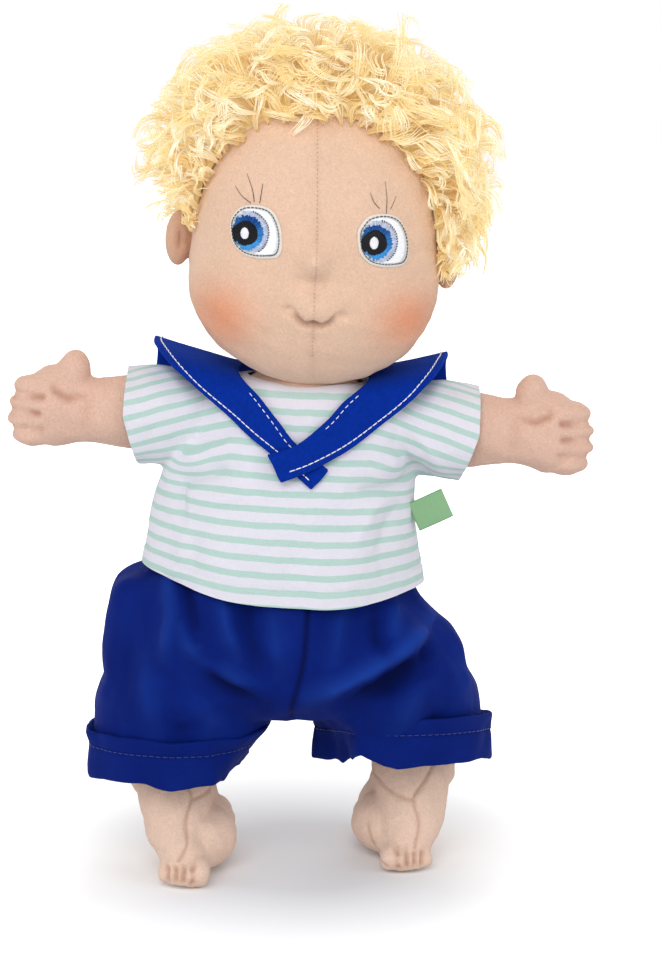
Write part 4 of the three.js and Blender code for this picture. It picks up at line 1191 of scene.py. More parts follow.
# %% Shorts folds
SHORTS_FRONT = [
    ([(-36, 88), (-28, 78.5), (-13, 71)], -4.0, 3.6),
    ([(-43, 99), (-36, 88), (-25, 82), (-17, 76)], 3.2, 3.6),
    ([(-49, 118), (-47, 104), (-50, 88)], 2.4, 2.8), ([(-43, 118), (-40, 106), (-38, 96)], -2.4, 2.4),
    ([(-29, 112), (-27, 100), (-22, 90)], 2.2, 3.0), ([(-20, 112), (-19, 98), (-15, 86)], -2.0, 3.0),
    ([(-10, 108), (-9, 96), (-8, 84)], 1.6, 3.4), ([(53.5, 100), (37, 90), (19, 81), (4, 75)], 4.0, 3.4),
    ([(48, 88), (33, 79), (18, 70.5)], -4.3, 3.6), ([(27, 106), (27.5, 96), (31, 89)], -2.6, 2.6),
    ([(36, 108), (34, 98), (38, 92)], 2.0, 3.0), ([(50, 98), (48, 90), (46, 82)], -2.6, 2.4),
    ([(15, 110), (14, 98), (12, 88)], 1.6, 3.0), ([(46, 78), (39, 67), (36, 58)], 1.8, 4.2),
    ([(-58, 86), (-56, 72), (-54, 60)], 1.6, 4.0), ([(-64, 90), (-65, 78), (-63, 66)], -0.8, 4.0),
    ([(-36, 70), (-33, 63), (-34, 57)], 1.6, 3.6), ([(60, 84), (61, 76), (61, 66)], 1.2, 3.6),
    ([(-46, 66), (-44, 60), (-45, 54)], -1.4, 3.0), ([(50, 70), (49, 62), (50, 56)], -1.4, 3.0),
]
SHORTS_BACK = [
    ([(-50, 100), (-34, 84), (-16, 74)], 1.8, 4.5), ([(-44, 88), (-30, 76), (-14, 68)], -2.4, 4.5),
    ([(42, 100), (26, 84), (8, 74)], 1.8, 4.5), ([(38, 88), (24, 76), (8, 68)], -2.4, 4.5),
    ([(-36, 118), (-38, 104), (-42, 92)], -1.1, 3.0), ([(-20, 118), (-22, 104), (-24, 92)], 1.0, 3.5),
    ([(12, 118), (12, 104), (14, 92)], 1.0, 3.5), ([(28, 118), (30, 104), (33, 92)], -1.1, 3.0),
]
shorts_valleys = press_folds(shorts, SHORTS_FRONT, -1)
shorts_valleys += press_folds(shorts, SHORTS_BACK, 1)
cloth_points = points(shorts)
push_out(shorts, 0.45 * lumps(cloth_points, 26, 51) + 0.15 * lumps(cloth_points, 9, 52))
print("shorts folds:", len(SHORTS_FRONT), "in front and", len(SHORTS_BACK), "behind")

# %% Shorts seam, trim and halves
SHORTS_SEAM = [(5, 0, 130), (2.8, 0, 108), (1.9, 0, 96), (0.4, 0, 84.7), (-3.3, 0, 69.6), (-4.5, 0, 50)]
SEAM_BACK, SEAM_UNDER = -5, -4
BODY_Y = HIPS_MIDDLE[1]
WAIST = 123.2
SHORTS_CLOTH = 0.8
seam_path = curve_through(SHORTS_SEAM, 40)


def seam_middle(places):
    """How far to the side the seam runs: in front along its path, and straight behind and below."""
    x, y, z = places.T
    front = np.interp(z, seam_path[::-1, 2], seam_path[::-1, 0])
    outward = smooth_step(np.abs(y - BODY_Y), 0, 12)
    return np.where(y < 0, front, SEAM_BACK) * outward + SEAM_UNDER * (1 - outward)


x, y, z = points(shorts).T
seam_dip = np.exp(-(((x - seam_middle(points(shorts))) / 1.1) ** 2)) * (z > 62)
push_out(shorts, -0.9 * seam_dip)
# Painted shade along the middle seam and in the fold valleys; negative values are a painted highlight on the
# ridges.
set_attribute(shorts, "fold", np.clip(0.8 * seam_dip + 0.9 * shorts_valleys, -1, 1))
pattern_round = np.arctan2(x - HIPS_MIDDLE[0], -y + BODY_Y) * 50
set_attribute(shorts, "cloth", np.column_stack([pattern_round, z, z * 0]), "FLOAT_VECTOR")
left_opening = z - (48.6 - 0.16 * (y + 0.5))
right_opening = z - (44.8 - 0.05 * (y + 4.5))
trim(shorts, np.minimum(WAIST - z, np.where(x > SEAM_UNDER, left_opening, right_opening)))
beside_seam = points(shorts)[:, 0] - seam_middle(points(shorts))
halves = {
    "left": thicken(part_of(shorts, beside_seam, "left_shorts_half"), SHORTS_CLOTH),
    "right": thicken(part_of(shorts, -beside_seam, "right_shorts_half"), SHORTS_CLOTH),
}
bpy.data.objects.remove(shorts)
print("shorts cut into", [half.name for half in halves.values()])

# %% Navy twill
navy, tree, shader = new_material("navy_twill_cloth")
ribs = use_group(tree, twill, Vector=stored(tree, "cloth", "Vector"), Pitch=0.55)
dusty = noise(tree, object_place(tree), 45.0, 4.0, 0.7)
blue = mixed(tree, span(tree, dusty, 0.45, 0.75, 0, 0.45), rgb(2, 26, 106), rgb(9, 38, 122))
# Painted shade in the valleys, then a painted highlight on the ridges.
painted_fold_colour = mixed(tree, span(tree, stored(tree, "fold"), 0, 1, 0, 0.9), blue, rgb(0, 5, 46))
painted_fold_colour = mixed(tree, span(tree, stored(tree, "fold"), -1, 0, 0.8, 0), painted_fold_colour, rgb(30, 72, 168))
bump_into(tree, shader, ribs["Height"], 0.3, 0.12)
feed(tree, shader, {
    "Base Color": shaded(tree, painted_fold_colour, ribs["Shade"]), "Roughness": 0.8, "Specular IOR Level": 0.08,
    "Sheen Weight": 0.06, "Sheen Tint": rgb(60, 100, 220),
})

HIP_TURN = {"left": np.array([0.5, 0, -0.866]), "right": np.array([-0.5, 0, -0.866])}
BEND_FROM, BEND_TO = -53, -38
bend_middle = np.array([HIPS_MIDDLE[0], BODY_Y, 0])
for name, half in halves.items():
    dress(half, None, "blue_twill", navy, f"shorts_{name}_half")
    start = Vector(bend_middle + HIP_TURN[name] * BEND_FROM) * MM
    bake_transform(half)

# %% [markdown]
# Rows of stitches are what makes a seam look sewn. Each stitch is a short thread that rises from the
# cloth, lies on it and dips back in. One helper lays stitches of a given length along a path on a
# surface, and another turns rings of points into a closed band, which cuffs and elastic are.

# %% Helpers for stitches and bands
def stitch_lines(path, out_of_cloth, pitch, share, rise, steps=5):
    """Short threads along a path: share of each pitch is thread and the rest is under the cloth."""
    path = np.asarray(path, float)
    out_of_cloth = np.broadcast_to(unit(np.asarray(out_of_cloth, float)), path.shape)
    run = np.concatenate([[0], np.cumsum(np.linalg.norm(np.diff(path, axis=0), axis=1))])
    starts = np.arange(0, run[-1] - pitch * share, pitch)
    where = starts[:, None] + np.linspace(0, pitch * share, steps)
    lines = np.stack([np.interp(where, run, path[:, k]) for k in range(3)], axis=-1)
    lifts = np.stack([np.interp(where, run, out_of_cloth[:, k]) for k in range(3)], axis=-1)
    arch = np.sin(np.linspace(0, math.pi, steps)) ** 0.6 * 1.6 - 0.6
    return lines + lifts * (rise * arch)[None, :, None]


def closed_band(name, rings):
    """A ring-shaped closed form: each ring of points runs round it, and the last joins the first."""
    rings = np.asarray(rings, float)
    index = np.arange(rings.shape[0] * rings.shape[1]).reshape(rings.shape[:2])
    beside = np.roll(index, -1, axis=1)
    quads = np.stack([index, beside, np.roll(beside, -1, axis=0), np.roll(index, -1, axis=0)], axis=-1)
    obj = mesh_piece(name, rings.reshape(-1, 3), quads.reshape(-1, 4).tolist())
    face_outward(obj)
    return obj


def plain_finish(name, colour, roughness, height, sheen):
    """A matt cloth of one colour with a little fibre in it."""
    material, tree, shader = new_material(name)
    effect = use_group(tree, felt, Vector=object_place(tree))
    shade = span(tree, effect["Shade"], 0.8, 1.2, 0.94, 1.06)
    bump_into(tree, shader, effect["Height"], height, 0.15)
    inputs = {"Base Color": shaded(tree, colour, shade), "Roughness": roughness, "Sheen Weight": sheen}
    feed(tree, shader, inputs)
    return material


def thread_finish(name, colour, roughness=0.45):
    material, tree, shader = new_material(name)
    shade = span(tree, noise(tree, object_place(tree), 2600.0, 2.0), 0.3, 0.7, 0.9, 1.08)
    thread_colour = shaded(tree, colour, shade)
    feed(tree, shader, {"Base Color": thread_colour, "Roughness": roughness, "Sheen Weight": 0.05})
    return material


white_thread = thread_finish("white_thread", rgb(240, 242, 248))
navy_thread = thread_finish("navy_thread", rgb(16, 44, 124))
print("threads:", white_thread.name, navy_thread.name)

# %% [markdown]
# Each leg of the shorts ends in a turned-up cuff. On the real one it is the leg's own cloth, folded
# outward and sewn down near its top edge, so it stands a little off the leg and has sharp dents.
# It is made as a closed band that follows the leg opening, and it rides on the leg.

# %% Forms of the cuffs
CUFFS = {
    "left": {
        "low": 40.0, "slope": -0.19, "tilt": 0.02,
        "points": [(-117, -3.2), (-92, 1.2), (-60, 0.6), (-8, 1.5), (60, 1.0), (-158, 2.0)],
    },
    "right": {
        "low": 37.4, "slope": -0.05, "tilt": 0.0,
        "points": [(-158, 1.6), (-92, 1.5), (-48, 1.3), (70, 1.0)],
    },
}
CUFF_TALL = 16.4
CUFF_HALF = (32.3, 30.8)
CUFF_PROFILE = [
    (0.6, 0.0), (1.6, -0.5), (2.5, 0.2), (2.4, 3), (2.1, 7), (1.8, 10.6), (1.9, 13), (2.5, 15.8),
    (2.6, 16.6), (2.0, 17), (1.2, 16.6), (-0.4, 14), (-1.0, 9), (-0.8, 3),
]
CUFF_SEAM = 10.8
CUFF_REACH = 33
turns = np.arange(220) * 2 * math.pi / 220
print("cuffs:", list(CUFFS), "about", CUFF_TALL, "mm tall")


# %% Rings and seam of a cuff
def cuff_waves(plan):
    """How far a cuff is dented and hangs down round its ring, with sharp corners at its points."""
    dents = 0.3 * np.cos(5 * turns + 0.6) + 0.3 * np.cos(3 * turns + 2.1) + 0.15 * np.cos(9 * turns)
    hang = 0.4 * np.cos(3 * turns + 0.5) + 0.25 * np.cos(7 * turns + 1.0)
    for degrees, drop in plan["points"]:
        off = np.abs((np.degrees(turns) - degrees + 180) % 360 - 180)
        hang = hang - drop * np.maximum(0, 1 - off / 16)
        dents = dents + 0.5 * drop * np.maximum(0, 1 - off / 12)
    return dents, hang


def cuff_rings(name, plan):
    middle = LEG_OPENINGS[name]
    dents, hang = cuff_waves(plan)
    rings = []
    for grow, rise in curve_through(CUFF_PROFILE, 44):
        share = rise / CUFF_TALL
        wave = dents * (0.7 + 0.3 * share)
        x = (CUFF_HALF[0] + grow + wave) * np.cos(turns)
        y = (CUFF_HALF[1] + grow + wave) * np.sin(turns)
        z = plan["low"] + rise + plan["slope"] * y + plan["tilt"] * x + hang * (1 - 0.45 * share)
        rings.append(pinched(np.stack([middle[0] + x, middle[1] + y, z], axis=1), name))
    return rings


def cuff_seam(cuff, name, plan):
    """A path round the outside of a cuff at its seam, and the directions out of the cloth."""
    finder = surface_of(cuff)
    path, outs = [], []
    for turn in np.linspace(0, 2 * math.pi, 260):
        ray = Vector((math.cos(turn), math.sin(turn), 0))
        height = plan["low"] + plan["slope"] * CUFF_REACH * math.sin(turn)
        height += plan["tilt"] * CUFF_REACH * math.cos(turn) + CUFF_SEAM
        hit, normal, _, _ = finder.ray_cast(Vector((*LEG_OPENINGS[name], height)) + ray * 60, -ray)
        path.append(hit + ray * 0.05)
        outs.append(normal)
    return path, outs


# %% Cuffs
for name, plan in CUFFS.items():
    cuff = closed_band(f"{name}_cuff_band", cuff_rings(name, plan))
    cuff_points = points(cuff)
    push_out(cuff, 0.2 * lumps(cuff_points, 14, 61))
    off_middle = cuff_points[:, :2] - LEG_OPENINGS[name]
    run = np.arctan2(off_middle[:, 0], -off_middle[:, 1]) * 34
    set_attribute(cuff, "cloth", np.column_stack([run, cuff_points[:, 2], run * 0]), "FLOAT_VECTOR")
    seam_height = plan["low"] + plan["slope"] * off_middle[:, 1] + CUFF_SEAM
    dip = np.exp(-(((cuff_points[:, 2] - seam_height) / 0.7) ** 2))
    outer = smooth_step((normals(cuff)[:, :2] * off_middle).sum(1), 4, 16)
    push_out(cuff, -0.4 * dip * outer)
    # Painted shade along the cuff's seam.
    set_attribute(cuff, "fold", 0.3 * dip * outer)
    dress(cuff, f"{name}_leg", "blue_twill", navy, f"{name}_cuff")
    path, outs = cuff_seam(cuff, name, plan)
    seam = tubes(f"{name}_cuff_stitches", stitch_lines(path, outs, 2.6, 0.74, 0.16), 0.2, 4)
    dress(seam, f"{name}_leg", "blue_twill", navy_thread)

# %% [markdown]
# A narrow elastic gathers the shorts at the waist. It is a ribbed white band, ruffled by the cloth
# under it, and the shirt hides it from the front.

# %% Elastic
ELASTIC_MIDDLE = -5.2
ELASTIC_HALF = (45.6, 35)
ELASTIC_LOW = 117
ELASTIC_PROFILE = [(1.5, 0), (2.3, 0.3), (2.5, 3), (2.3, 5.7), (1.5, 6), (1.3, 3)]
turns = np.arange(240) * 2 * math.pi / 240
gather = 0.4 * np.cos(27 * turns)
rings = []
for grow, rise in curve_through(ELASTIC_PROFILE, 20):
    x = ELASTIC_MIDDLE + (ELASTIC_HALF[0] + grow + gather) * np.cos(turns)
    y = (ELASTIC_HALF[1] + grow + gather) * np.sin(turns)
    rings.append(place(standing, np.stack([x, y, ELASTIC_LOW + rise + 0 * turns], axis=1)))
elastic = closed_band("waist_elastic_band", rings)
elastic_finish = plain_finish("ribbed_elastic", rgb(236, 236, 232), 0.7, 0.3, 0.1)
dress(elastic, "torso", "elastic", elastic_finish, "waist_elastic")

# %% [markdown]
# The sailor collar is one piece of thick royal-blue felt: a square flap at the back and two long
# tails that narrow towards the chest, where the left one crosses over the right one. It could be
# draped by simulation, but its crossing tails would slip. So it is drawn as a grid between its inner
# and outer edge, and each point is then laid on the shirt, clear of it by half the felt.

# %% Collar
COLLAR_ROWS = [
    ((12.2, -40, 86.6), (5.0, -40, 78.2)), ((-1.5, -38.8, 94.4), (-8.5, -38.8, 88.9)),
    ((-9.5, -35.2, 103), (-19.6, -35.8, 96.4)), ((-17, -28.2, 111), (-32, -30.2, 104.9)),
    ((-23, -16, 114), (-48, -18, 117)), ((-24, 0, 115), (-56, 2, 123)), ((-20, 15, 115), (-56, 20, 119)),
    ((-12, 21, 115), (-52.5, 41, 82)), ((0, 22, 115), (0, 43, 79)), ((12, 21, 115), (52, 41, 82)),
    ((20, 15, 115), (53.5, 20, 119)), ((24, 0, 115), (52.5, 0, 123)), ((23, -16, 114), (46.5, -18, 116.8)),
    ((17, -28.2, 110.8), (36.5, -29.5, 106.5)), ((10, -35.4, 103), (22.5, -36.5, 95.4)),
    ((-1, -41.2, 94.4), (8, -41, 87.9)), ((-11.6, -42.2, 91), (-6.6, -42.2, 81.2)),
]
FELT = 1.7
ALONG, ACROSS = 260, 17
inner_edge = curve_through([row[0] for row in COLLAR_ROWS], ALONG)
outer_edge = curve_through([row[1] for row in COLLAR_ROWS], ALONG)
steps_across = np.linspace(0, 1, ACROSS)[None, :, None]
grid = inner_edge[:, None] + (outer_edge - inner_edge)[:, None] * steps_across
share_along = np.linspace(0, len(COLLAR_ROWS) - 1, ALONG)
at_back = smooth_step(share_along, 6, 7.2) * (1 - smooth_step(share_along, 8.8, 10))
grid[..., 1] += 5 * (at_back[:, None] * np.sin(np.linspace(0, math.pi, ACROSS)))
grid = place(upper, grid.reshape(-1, 3)).reshape(ALONG, ACROSS, 3)
on_top = smooth_step(share_along, 14.2, 15.2)
clear = FELT / 2 + 0.35 + on_top * (FELT + 0.5)
on_chest = (share_along < 3.4) | (share_along > 12.6)
print("collar drawn through", len(COLLAR_ROWS), "rows")


# %% Collar laid on the shirt
def laid_on_shirt(grid):
    """Lifts points that are sunk in the cloth, and on the chest lets the others down to it."""
    lifted = np.zeros((ALONG, ACROSS, 3))
    for i in range(ALONG):
        for j in range(ACROSS):
            here = Vector(grid[i, j])
            hit, normal, _, _ = shirt_surface.find_nearest(here)
            lacking = clear[i] - (here - hit).dot(normal)
            if lacking > 0 or (on_chest[i] and lacking < 0):
                lifted[i, j] = np.array(normal) * lacking * (1 if lacking > 0 else 0.6)
    for _ in range(90):
        lifted[1:-1] = 0.5 * lifted[1:-1] + 0.25 * (lifted[2:] + lifted[:-2])
    for _ in range(6):
        lifted[:, 1:-1] = 0.5 * lifted[:, 1:-1] + 0.25 * (lifted[:, 2:] + lifted[:, :-2])
    return grid + lifted


for _ in range(4):
    grid = laid_on_shirt(grid)
ripple = 0.12 * lumps(grid.reshape(-1, 3), 26, 71).reshape(ALONG, ACROSS)
flat_normal = unit(np.cross(np.gradient(grid, axis=0), np.gradient(grid, axis=1)))
body_middle = place(upper, [(0, 0, 90)])[0]
sample = (ALONG // 4, ACROSS // 2)
if flat_normal[sample] @ (grid[sample] - body_middle) < 0:
    flat_normal *= -1
grid += flat_normal * ripple[..., None]
collar = grid_sheet("sailor_collar_felt", grid, FELT)
round_edges(collar, 0.45)
set_attribute(collar, "fold", np.zeros(len(collar.data.vertices)))

# %% Royal blue felt
royal, tree, shader = new_material("royal_blue_felt")
fibres = use_group(tree, felt, Vector=object_place(tree))
bump_into(tree, shader, fibres["Height"], 0.6, 0.3)
feed(tree, shader, {
    "Base Color": shaded(tree, rgb(5, 44, 146), fibres["Shade"]), "Roughness": 0.95,
    "Specular IOR Level": 0.05, "Sheen Weight": 0.22, "Sheen Tint": rgb(70, 115, 240),
})
dress(collar, "torso", "blue_felt", royal, "sailor_collar")


# %% Collar stitches
def collar_stitches(name, from_edge, start, stop, pitch, share, radius, inner=False):
    """A row of stitches at a distance from an edge, over a stretch of the collar's length."""
    widths = np.linalg.norm(outer_edge - inner_edge, axis=1)
    path, outs = [], []
    for i in range(round(start * (ALONG - 1)), round(stop * (ALONG - 1))):
        at = np.clip(from_edge / widths[i], 0, 0.8) * (ACROSS - 1)
        at = at if inner else (ACROSS - 1) - at
        low = min(int(at), ACROSS - 2)
        spot = grid[i, low] * (1 - at + low) + grid[i, low + 1] * (at - low)
        path.append(spot + flat_normal[i, low] * (FELT / 2))
        outs.append(flat_normal[i, low])
    row = tubes(name, stitch_lines(path, outs, pitch, share, 0.3), radius, 5)
    return dress(row, "torso", "blue_felt", white_thread)


collar_rows = [
    collar_stitches("collar_edge_stitches", 2.4, 0.012, 0.99, 2.4, 0.86, 0.22),
    collar_stitches("collar_tail_stitches_right", 2.2, 0.02, 0.21, 2.7, 0.62, 0.17, inner=True),
    collar_stitches("collar_tail_stitches_left", 2.2, 0.79, 0.9, 2.7, 0.62, 0.17, inner=True),
]

# %% [markdown]
# A small woven label is folded in two and caught in the side seam of the shirt. It is left bare. It
# is made as one strip bent round at its free end, thick enough to hold its shape.

# %% Label
LABEL_WIDE = 11.0
LABEL_LONG = 13.5
LABEL_CLOTH = 0.4
LABEL_PLACE = (43.4, -10.2, 64.2)
LABEL_DROOP = math.radians(-27)
LABEL_LINE = [
    (0, 0.9), (4, 1.0), (9, 1.1), (LABEL_LONG - 0.6, 0.9), (LABEL_LONG, 0), (LABEL_LONG - 0.6, -0.8),
    (9, -0.7), (4, -0.5), (0, -0.4),
]
strip = curve_through(LABEL_LINE, 40)
label_frame = upper @ Matrix.Translation(LABEL_PLACE) @ Matrix.Rotation(LABEL_DROOP, 4, "Y")
rows = []
for across in np.linspace(-LABEL_WIDE / 2, LABEL_WIDE / 2, 16):
    bend = 0.25 * math.sin(across * 0.5)
    depth = -strip[:, 1] * 0.8 + bend + 0.004 * strip[:, 0] ** 2
    rows.append(place(label_frame, np.stack([strip[:, 0], depth, np.full(len(strip), across)], axis=1)))
label = grid_sheet("side_label_strip", rows, LABEL_CLOTH)
set_attribute(label, "cloth", unplace(label_frame, points(label))[:, [0, 2, 1]], "FLOAT_VECTOR")
green, tree, shader = new_material("green_woven_label")
ribs = use_group(tree, weave, Vector=stored(tree, "cloth", "Vector"), Pitch=0.4)
bump_into(tree, shader, ribs["Height"], 0.4, 0.06)
label_colour = shaded(tree, rgb(126, 170, 124), ribs["Shade"])
feed(tree, shader, {"Base Color": label_colour, "Roughness": 0.55, "Sheen Weight": 0.1})
dress(label, "torso", "green_label", green, "side_label")

# %% [markdown]
# The shirt opens down the back and closes with a strip of hook-and-loop tape. The strip lies on the
# cloth, so its grid is dropped onto the shirt from behind, then thickened, and sewn along both edges.

# %% Back closure
TAPE = {"half": 5.6, "low": 43, "high": 105, "wall": 0.9}
rows = []
for rise in np.linspace(TAPE["low"], TAPE["high"], 70):
    row = []
    slant = 1.5 * (TAPE["high"] - rise) / 60
    for side_step in np.linspace(-TAPE["half"], TAPE["half"], 11):
        start = Vector(place(upper, [(side_step - slant, 90, rise)])[0])
        hit, normal, _, _ = shirt_surface.ray_cast(start, Vector((0, -1, 0)))
        row.append(hit + normal * (TAPE["wall"] / 2 + 0.25))
    rows.append(row)
rows = np.array(rows)
rows[1:-1] = 0.5 * rows[1:-1] + 0.25 * (rows[2:] + rows[:-2])
tape = grid_sheet("back_closure_strip", rows, TAPE["wall"])
round_edges(tape, 0.25)
tape_finish = plain_finish("looped_tape", rgb(236, 238, 236), 0.9, 0.9, 0.3)
dress(tape, "torso", "fastener", tape_finish, "back_closure_tape")
for name, column in (("left", 9), ("right", 1)):
    path = rows[:, column] + [0, TAPE["wall"] / 2, 0]
    row = tubes(f"closure_stitches_{name}", stitch_lines(path, [(0, 1, 0)], 2.6, 0.75, 0.2), 0.18, 4)
    dress(row, "torso", "fastener", white_thread)

# %% [markdown]
# Ears and eyes sit on the face. The ears are small flat pads of a darker fleece with a dent in
# front. Each eye is a cloth patch under dense embroidery: white and lavender satin threads, a blue
# ring of threads that run out from the pupil, a black pupil and a white spark, and a dashed border.
# A painted disc would look flat, so every thread is a thin tube that is laid on the face.

# %% Finder for the face
face_sides = [list(polygon.vertices) for polygon in head.data.polygons]
face_finder = BVHTree.FromPolygons(face_points.tolist(), face_sides)
print("finder made from", len(face_sides), "faces of the head")


def on_face(x, z, lift=0.0):
    """A place on the front of the modelled face, lifted off the cloth, in the head's own frame."""
    hit, normal, _, _ = face_finder.ray_cast(Vector((x, -100, z)), Vector((0, 1, 0)))
    if normal.y > 0:
        normal = -normal
    return np.array(hit + normal * lift), np.array(normal)


# %% Ears
EARS = {
    "left": {"at": (49.2, 3.0, 43.0), "radii": (4.6, 7.2, 9.6), "turn": -0.12},
    "right": {"at": (-50.6, 1.5, 45.5), "radii": (5.0, 7.6, 10.2), "turn": 0.12},
}
EAR_DENT = 2.3
for name, plan in EARS.items():
    side, centre = ARM_SIDES[name], plan["at"]
    root = (centre[0] - side * 4, centre[1] + 1, centre[2])
    ear_balls = [add_ball(centre, plan["radii"], head_frame, plan["turn"])]
    ear_balls.append(add_ball(root, (5, 5.5, 7.5), head_frame, plan["turn"]))
    ear = cover(ear_balls, f"{name}_ear_fleece", 0.55, 4)
    x, y, z = unplace(head_frame, points(ear)).T
    dent = np.exp(-(((x - centre[0] + side * 0.5) / 2.6) ** 2) - ((z - centre[2]) / 5.5) ** 2)
    dent *= smooth_step(-(y - centre[1]), 1, 4)
    push_out(ear, -EAR_DENT * dent)
    # Painted shade in the dent.
    set_attribute(ear, "fold", np.clip(dent * 0.8, 0, 1))
    dress(ear, "head", "ear_velour", ear_fleece, f"{name}_ear")

# %% Embroidery helpers
EYE_HALF = (9.2, 9.3)
EYE_REACH = 9.6
EYE_POINTS = 120
EYE_LINE = [
    (-1, 0), (-0.97, 0.42), (-0.62, 0.88), (0, 1), (0.52, 0.86), (0.84, 0.42), (0.98, -0.1), (1, -0.6),
    (0.86, -0.88), (0.5, -0.97), (0, -0.99), (-0.5, -0.86), (-0.86, -0.5), (-1, 0),
]


def eye_outline(count=EYE_POINTS, inset=0.0):
    """The patch's edge: round, with a drawn-out lower corner on the doll's left."""
    edge = curve_through(EYE_LINE, count + 1)[:-1] * EYE_HALF
    return edge * (1 - inset / EYE_REACH)


def inside(places, outline):
    """Which flat places lie inside a closed outline."""
    x, y = places[..., 0], places[..., 1]
    odd = np.zeros(x.shape, bool)
    for a, b in zip(outline, np.roll(outline, -1, axis=0)):
        crosses = (a[1] > y) != (b[1] > y)
        odd ^= crosses & (x < (b[0] - a[0]) * (y - a[1]) / (b[1] - a[1] + 1e-12) + a[0])
    return odd


def satin(keep, slant, spacing, reach=11.0):
    """Parallel threads over the places that keep allows; each ends where the shape ends."""
    ahead = np.array([math.cos(slant), math.sin(slant)])
    aside = np.array([-ahead[1], ahead[0]])
    found = []
    steps = np.linspace(-reach, reach, 240)
    for shift in np.arange(-reach, reach, spacing):
        row = aside * shift + ahead * steps[:, None]
        allowed = keep(row)
        edges = np.flatnonzero(np.diff(np.concatenate([[0], allowed.astype(int), [0]])))
        for a, b in zip(edges[::2], edges[1::2]):
            if b - a > 5:
                found.append((row[a], row[b - 1]))
    return found


# %% Threads laid on the face
def lay_threads(name, threads, eye, lift, radius, tints, slot, steps=6):
    """Threads from flat start and end places, laid on the face round an eye's middle."""
    lines = []
    for a, b, *_ in threads:
        line = []
        for share in np.linspace(0, 1, steps):
            spot = np.array(a) * (1 - share) + np.array(b) * share
            rise = lift - 0.25 * (2 * abs(share - 0.5)) ** 4
            line.append(on_face(eye[0] + spot[0], eye[1] + spot[1], rise)[0])
        lines.append(line)
    made = tubes(name, place(head_frame, lines), radius, 5)
    tint = np.repeat(np.asarray(tints)[:, :3], steps * 5, axis=0)
    set_attribute(made, "tint", tint, "FLOAT_VECTOR")
    return dress(made, "head", slot, satin_thread)


satin_thread, tree, shader = new_material("satin_thread")
tint = stored(tree, "tint", "Color")
feed(tree, shader, {"Base Color": tint, "Roughness": 0.42, "Specular IOR Level": 0.2})
patch_cloth = plain_finish("eye_patch_cloth", rgb(226, 221, 214), 0.9, 0.3, 0.3)

# %% [markdown]
# Both eyes look to the doll's right. They are sewn in the order of the real work: the patch, the
# white, the ring round the pupil, the pupil with its spark, and last the dashed border.

# %% Parts of an eye
IRIS = np.array([-3.2, -0.7])
IRIS_RADII = (7.2, 7.5)
PUPIL = (-3.5, -0.9)
PUPIL_RADII = (4.4, 4.65)
SPARK = (-3.5, -0.9)
SPARK_RADII = (1.4, 1.85)
LILAC_RING = (5.4, 7.7)
BLUE_RING = (3.9, 6.1)
DARK_BLUE = np.array(rgb(6, 66, 138))
LIGHT_BLUE = np.array(rgb(66, 156, 224))
STITCHED_EDGE = eye_outline(inset=1.35)
PATCH_RINGS = [
    (0.9, -0.6), (0.0, 0.1), (0.0, 0.45), (0.35, 0.8), (1.2, 0.9), (3, 0.9), (5, 0.9), (7, 0.9), (8.6, 0.9),
]
draw = np.random.default_rng(7)


def within_oval(places, centre, radii):
    return ((places[..., 0] - centre[0]) / radii[0]) ** 2 + ((places[..., 1] - centre[1]) / radii[1]) ** 2 < 1


def varied(colour, threads, low, high):
    """One tint for each thread, a little darker or lighter than the colour."""
    return [np.array(colour) * draw.uniform(low, high) for _ in threads]


# %% Patch and white of an eye
def sew_patch(name, eye):
    rings = []
    for inset, lift in PATCH_RINGS:
        edge = eye_outline(inset=inset)
        rings.append([on_face(eye[0] + u, eye[1] + v, lift)[0] for u, v in edge])
    patch = loft(f"{name}_eye_patch_cloth", place(head_frame, rings))
    dress(patch, "head", "eye_white", patch_cloth, f"{name}_eye_patch")


def sew_white(name, eye):
    def keep(places):
        return inside(places, STITCHED_EDGE) & ~within_oval(places, IRIS, IRIS_RADII)

    rows = satin(keep, math.radians(12), 0.3)
    tints = varied(rgb(248, 249, 252), rows, 0.93, 1.02)
    lay_threads(f"{name}_eye_white_threads", rows, eye, 1.02, 0.19, tints, "eye_white")


# %% Iris and pupil of an eye
def ring_threads():
    """Threads that run out from the pupil, in an outer and an inner ring, with their height."""
    lilac, blue = [], []
    for angle in np.arange(0, 2 * math.pi, 0.06):
        aim = np.array([math.cos(angle), math.sin(angle)])
        for ring, (first, last) in ((lilac, LILAC_RING), (blue, BLUE_RING)):
            a = IRIS + aim * (first + draw.uniform(-0.3, 0.2))
            b = IRIS + aim * (last + draw.uniform(-0.5, 0.35))
            if not inside(b, STITCHED_EDGE):
                b = IRIS + aim * (last - 1.1)
            if inside(b, STITCHED_EDGE):
                ring.append((a, b, math.sin(angle)))
    return lilac, blue


def sew_iris(name, eye):
    lilac, blue = ring_threads()
    tints = varied(rgb(206, 216, 240), lilac, 0.78, 1.08)
    lay_threads(f"{name}_eye_lilac_threads", lilac, eye, 1.12, 0.2, tints, "eye_white")
    shares = [np.clip(0.5 - 0.5 * height + draw.uniform(-0.22, 0.22), 0, 1) for _, _, height in blue]
    tints = [DARK_BLUE * (1 - share) + LIGHT_BLUE * share for share in shares]
    iris = lay_threads(f"{name}_iris_threads", blue, eye, 1.3, 0.22, tints, "eye_blue")
    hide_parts(f"{name}_iris")


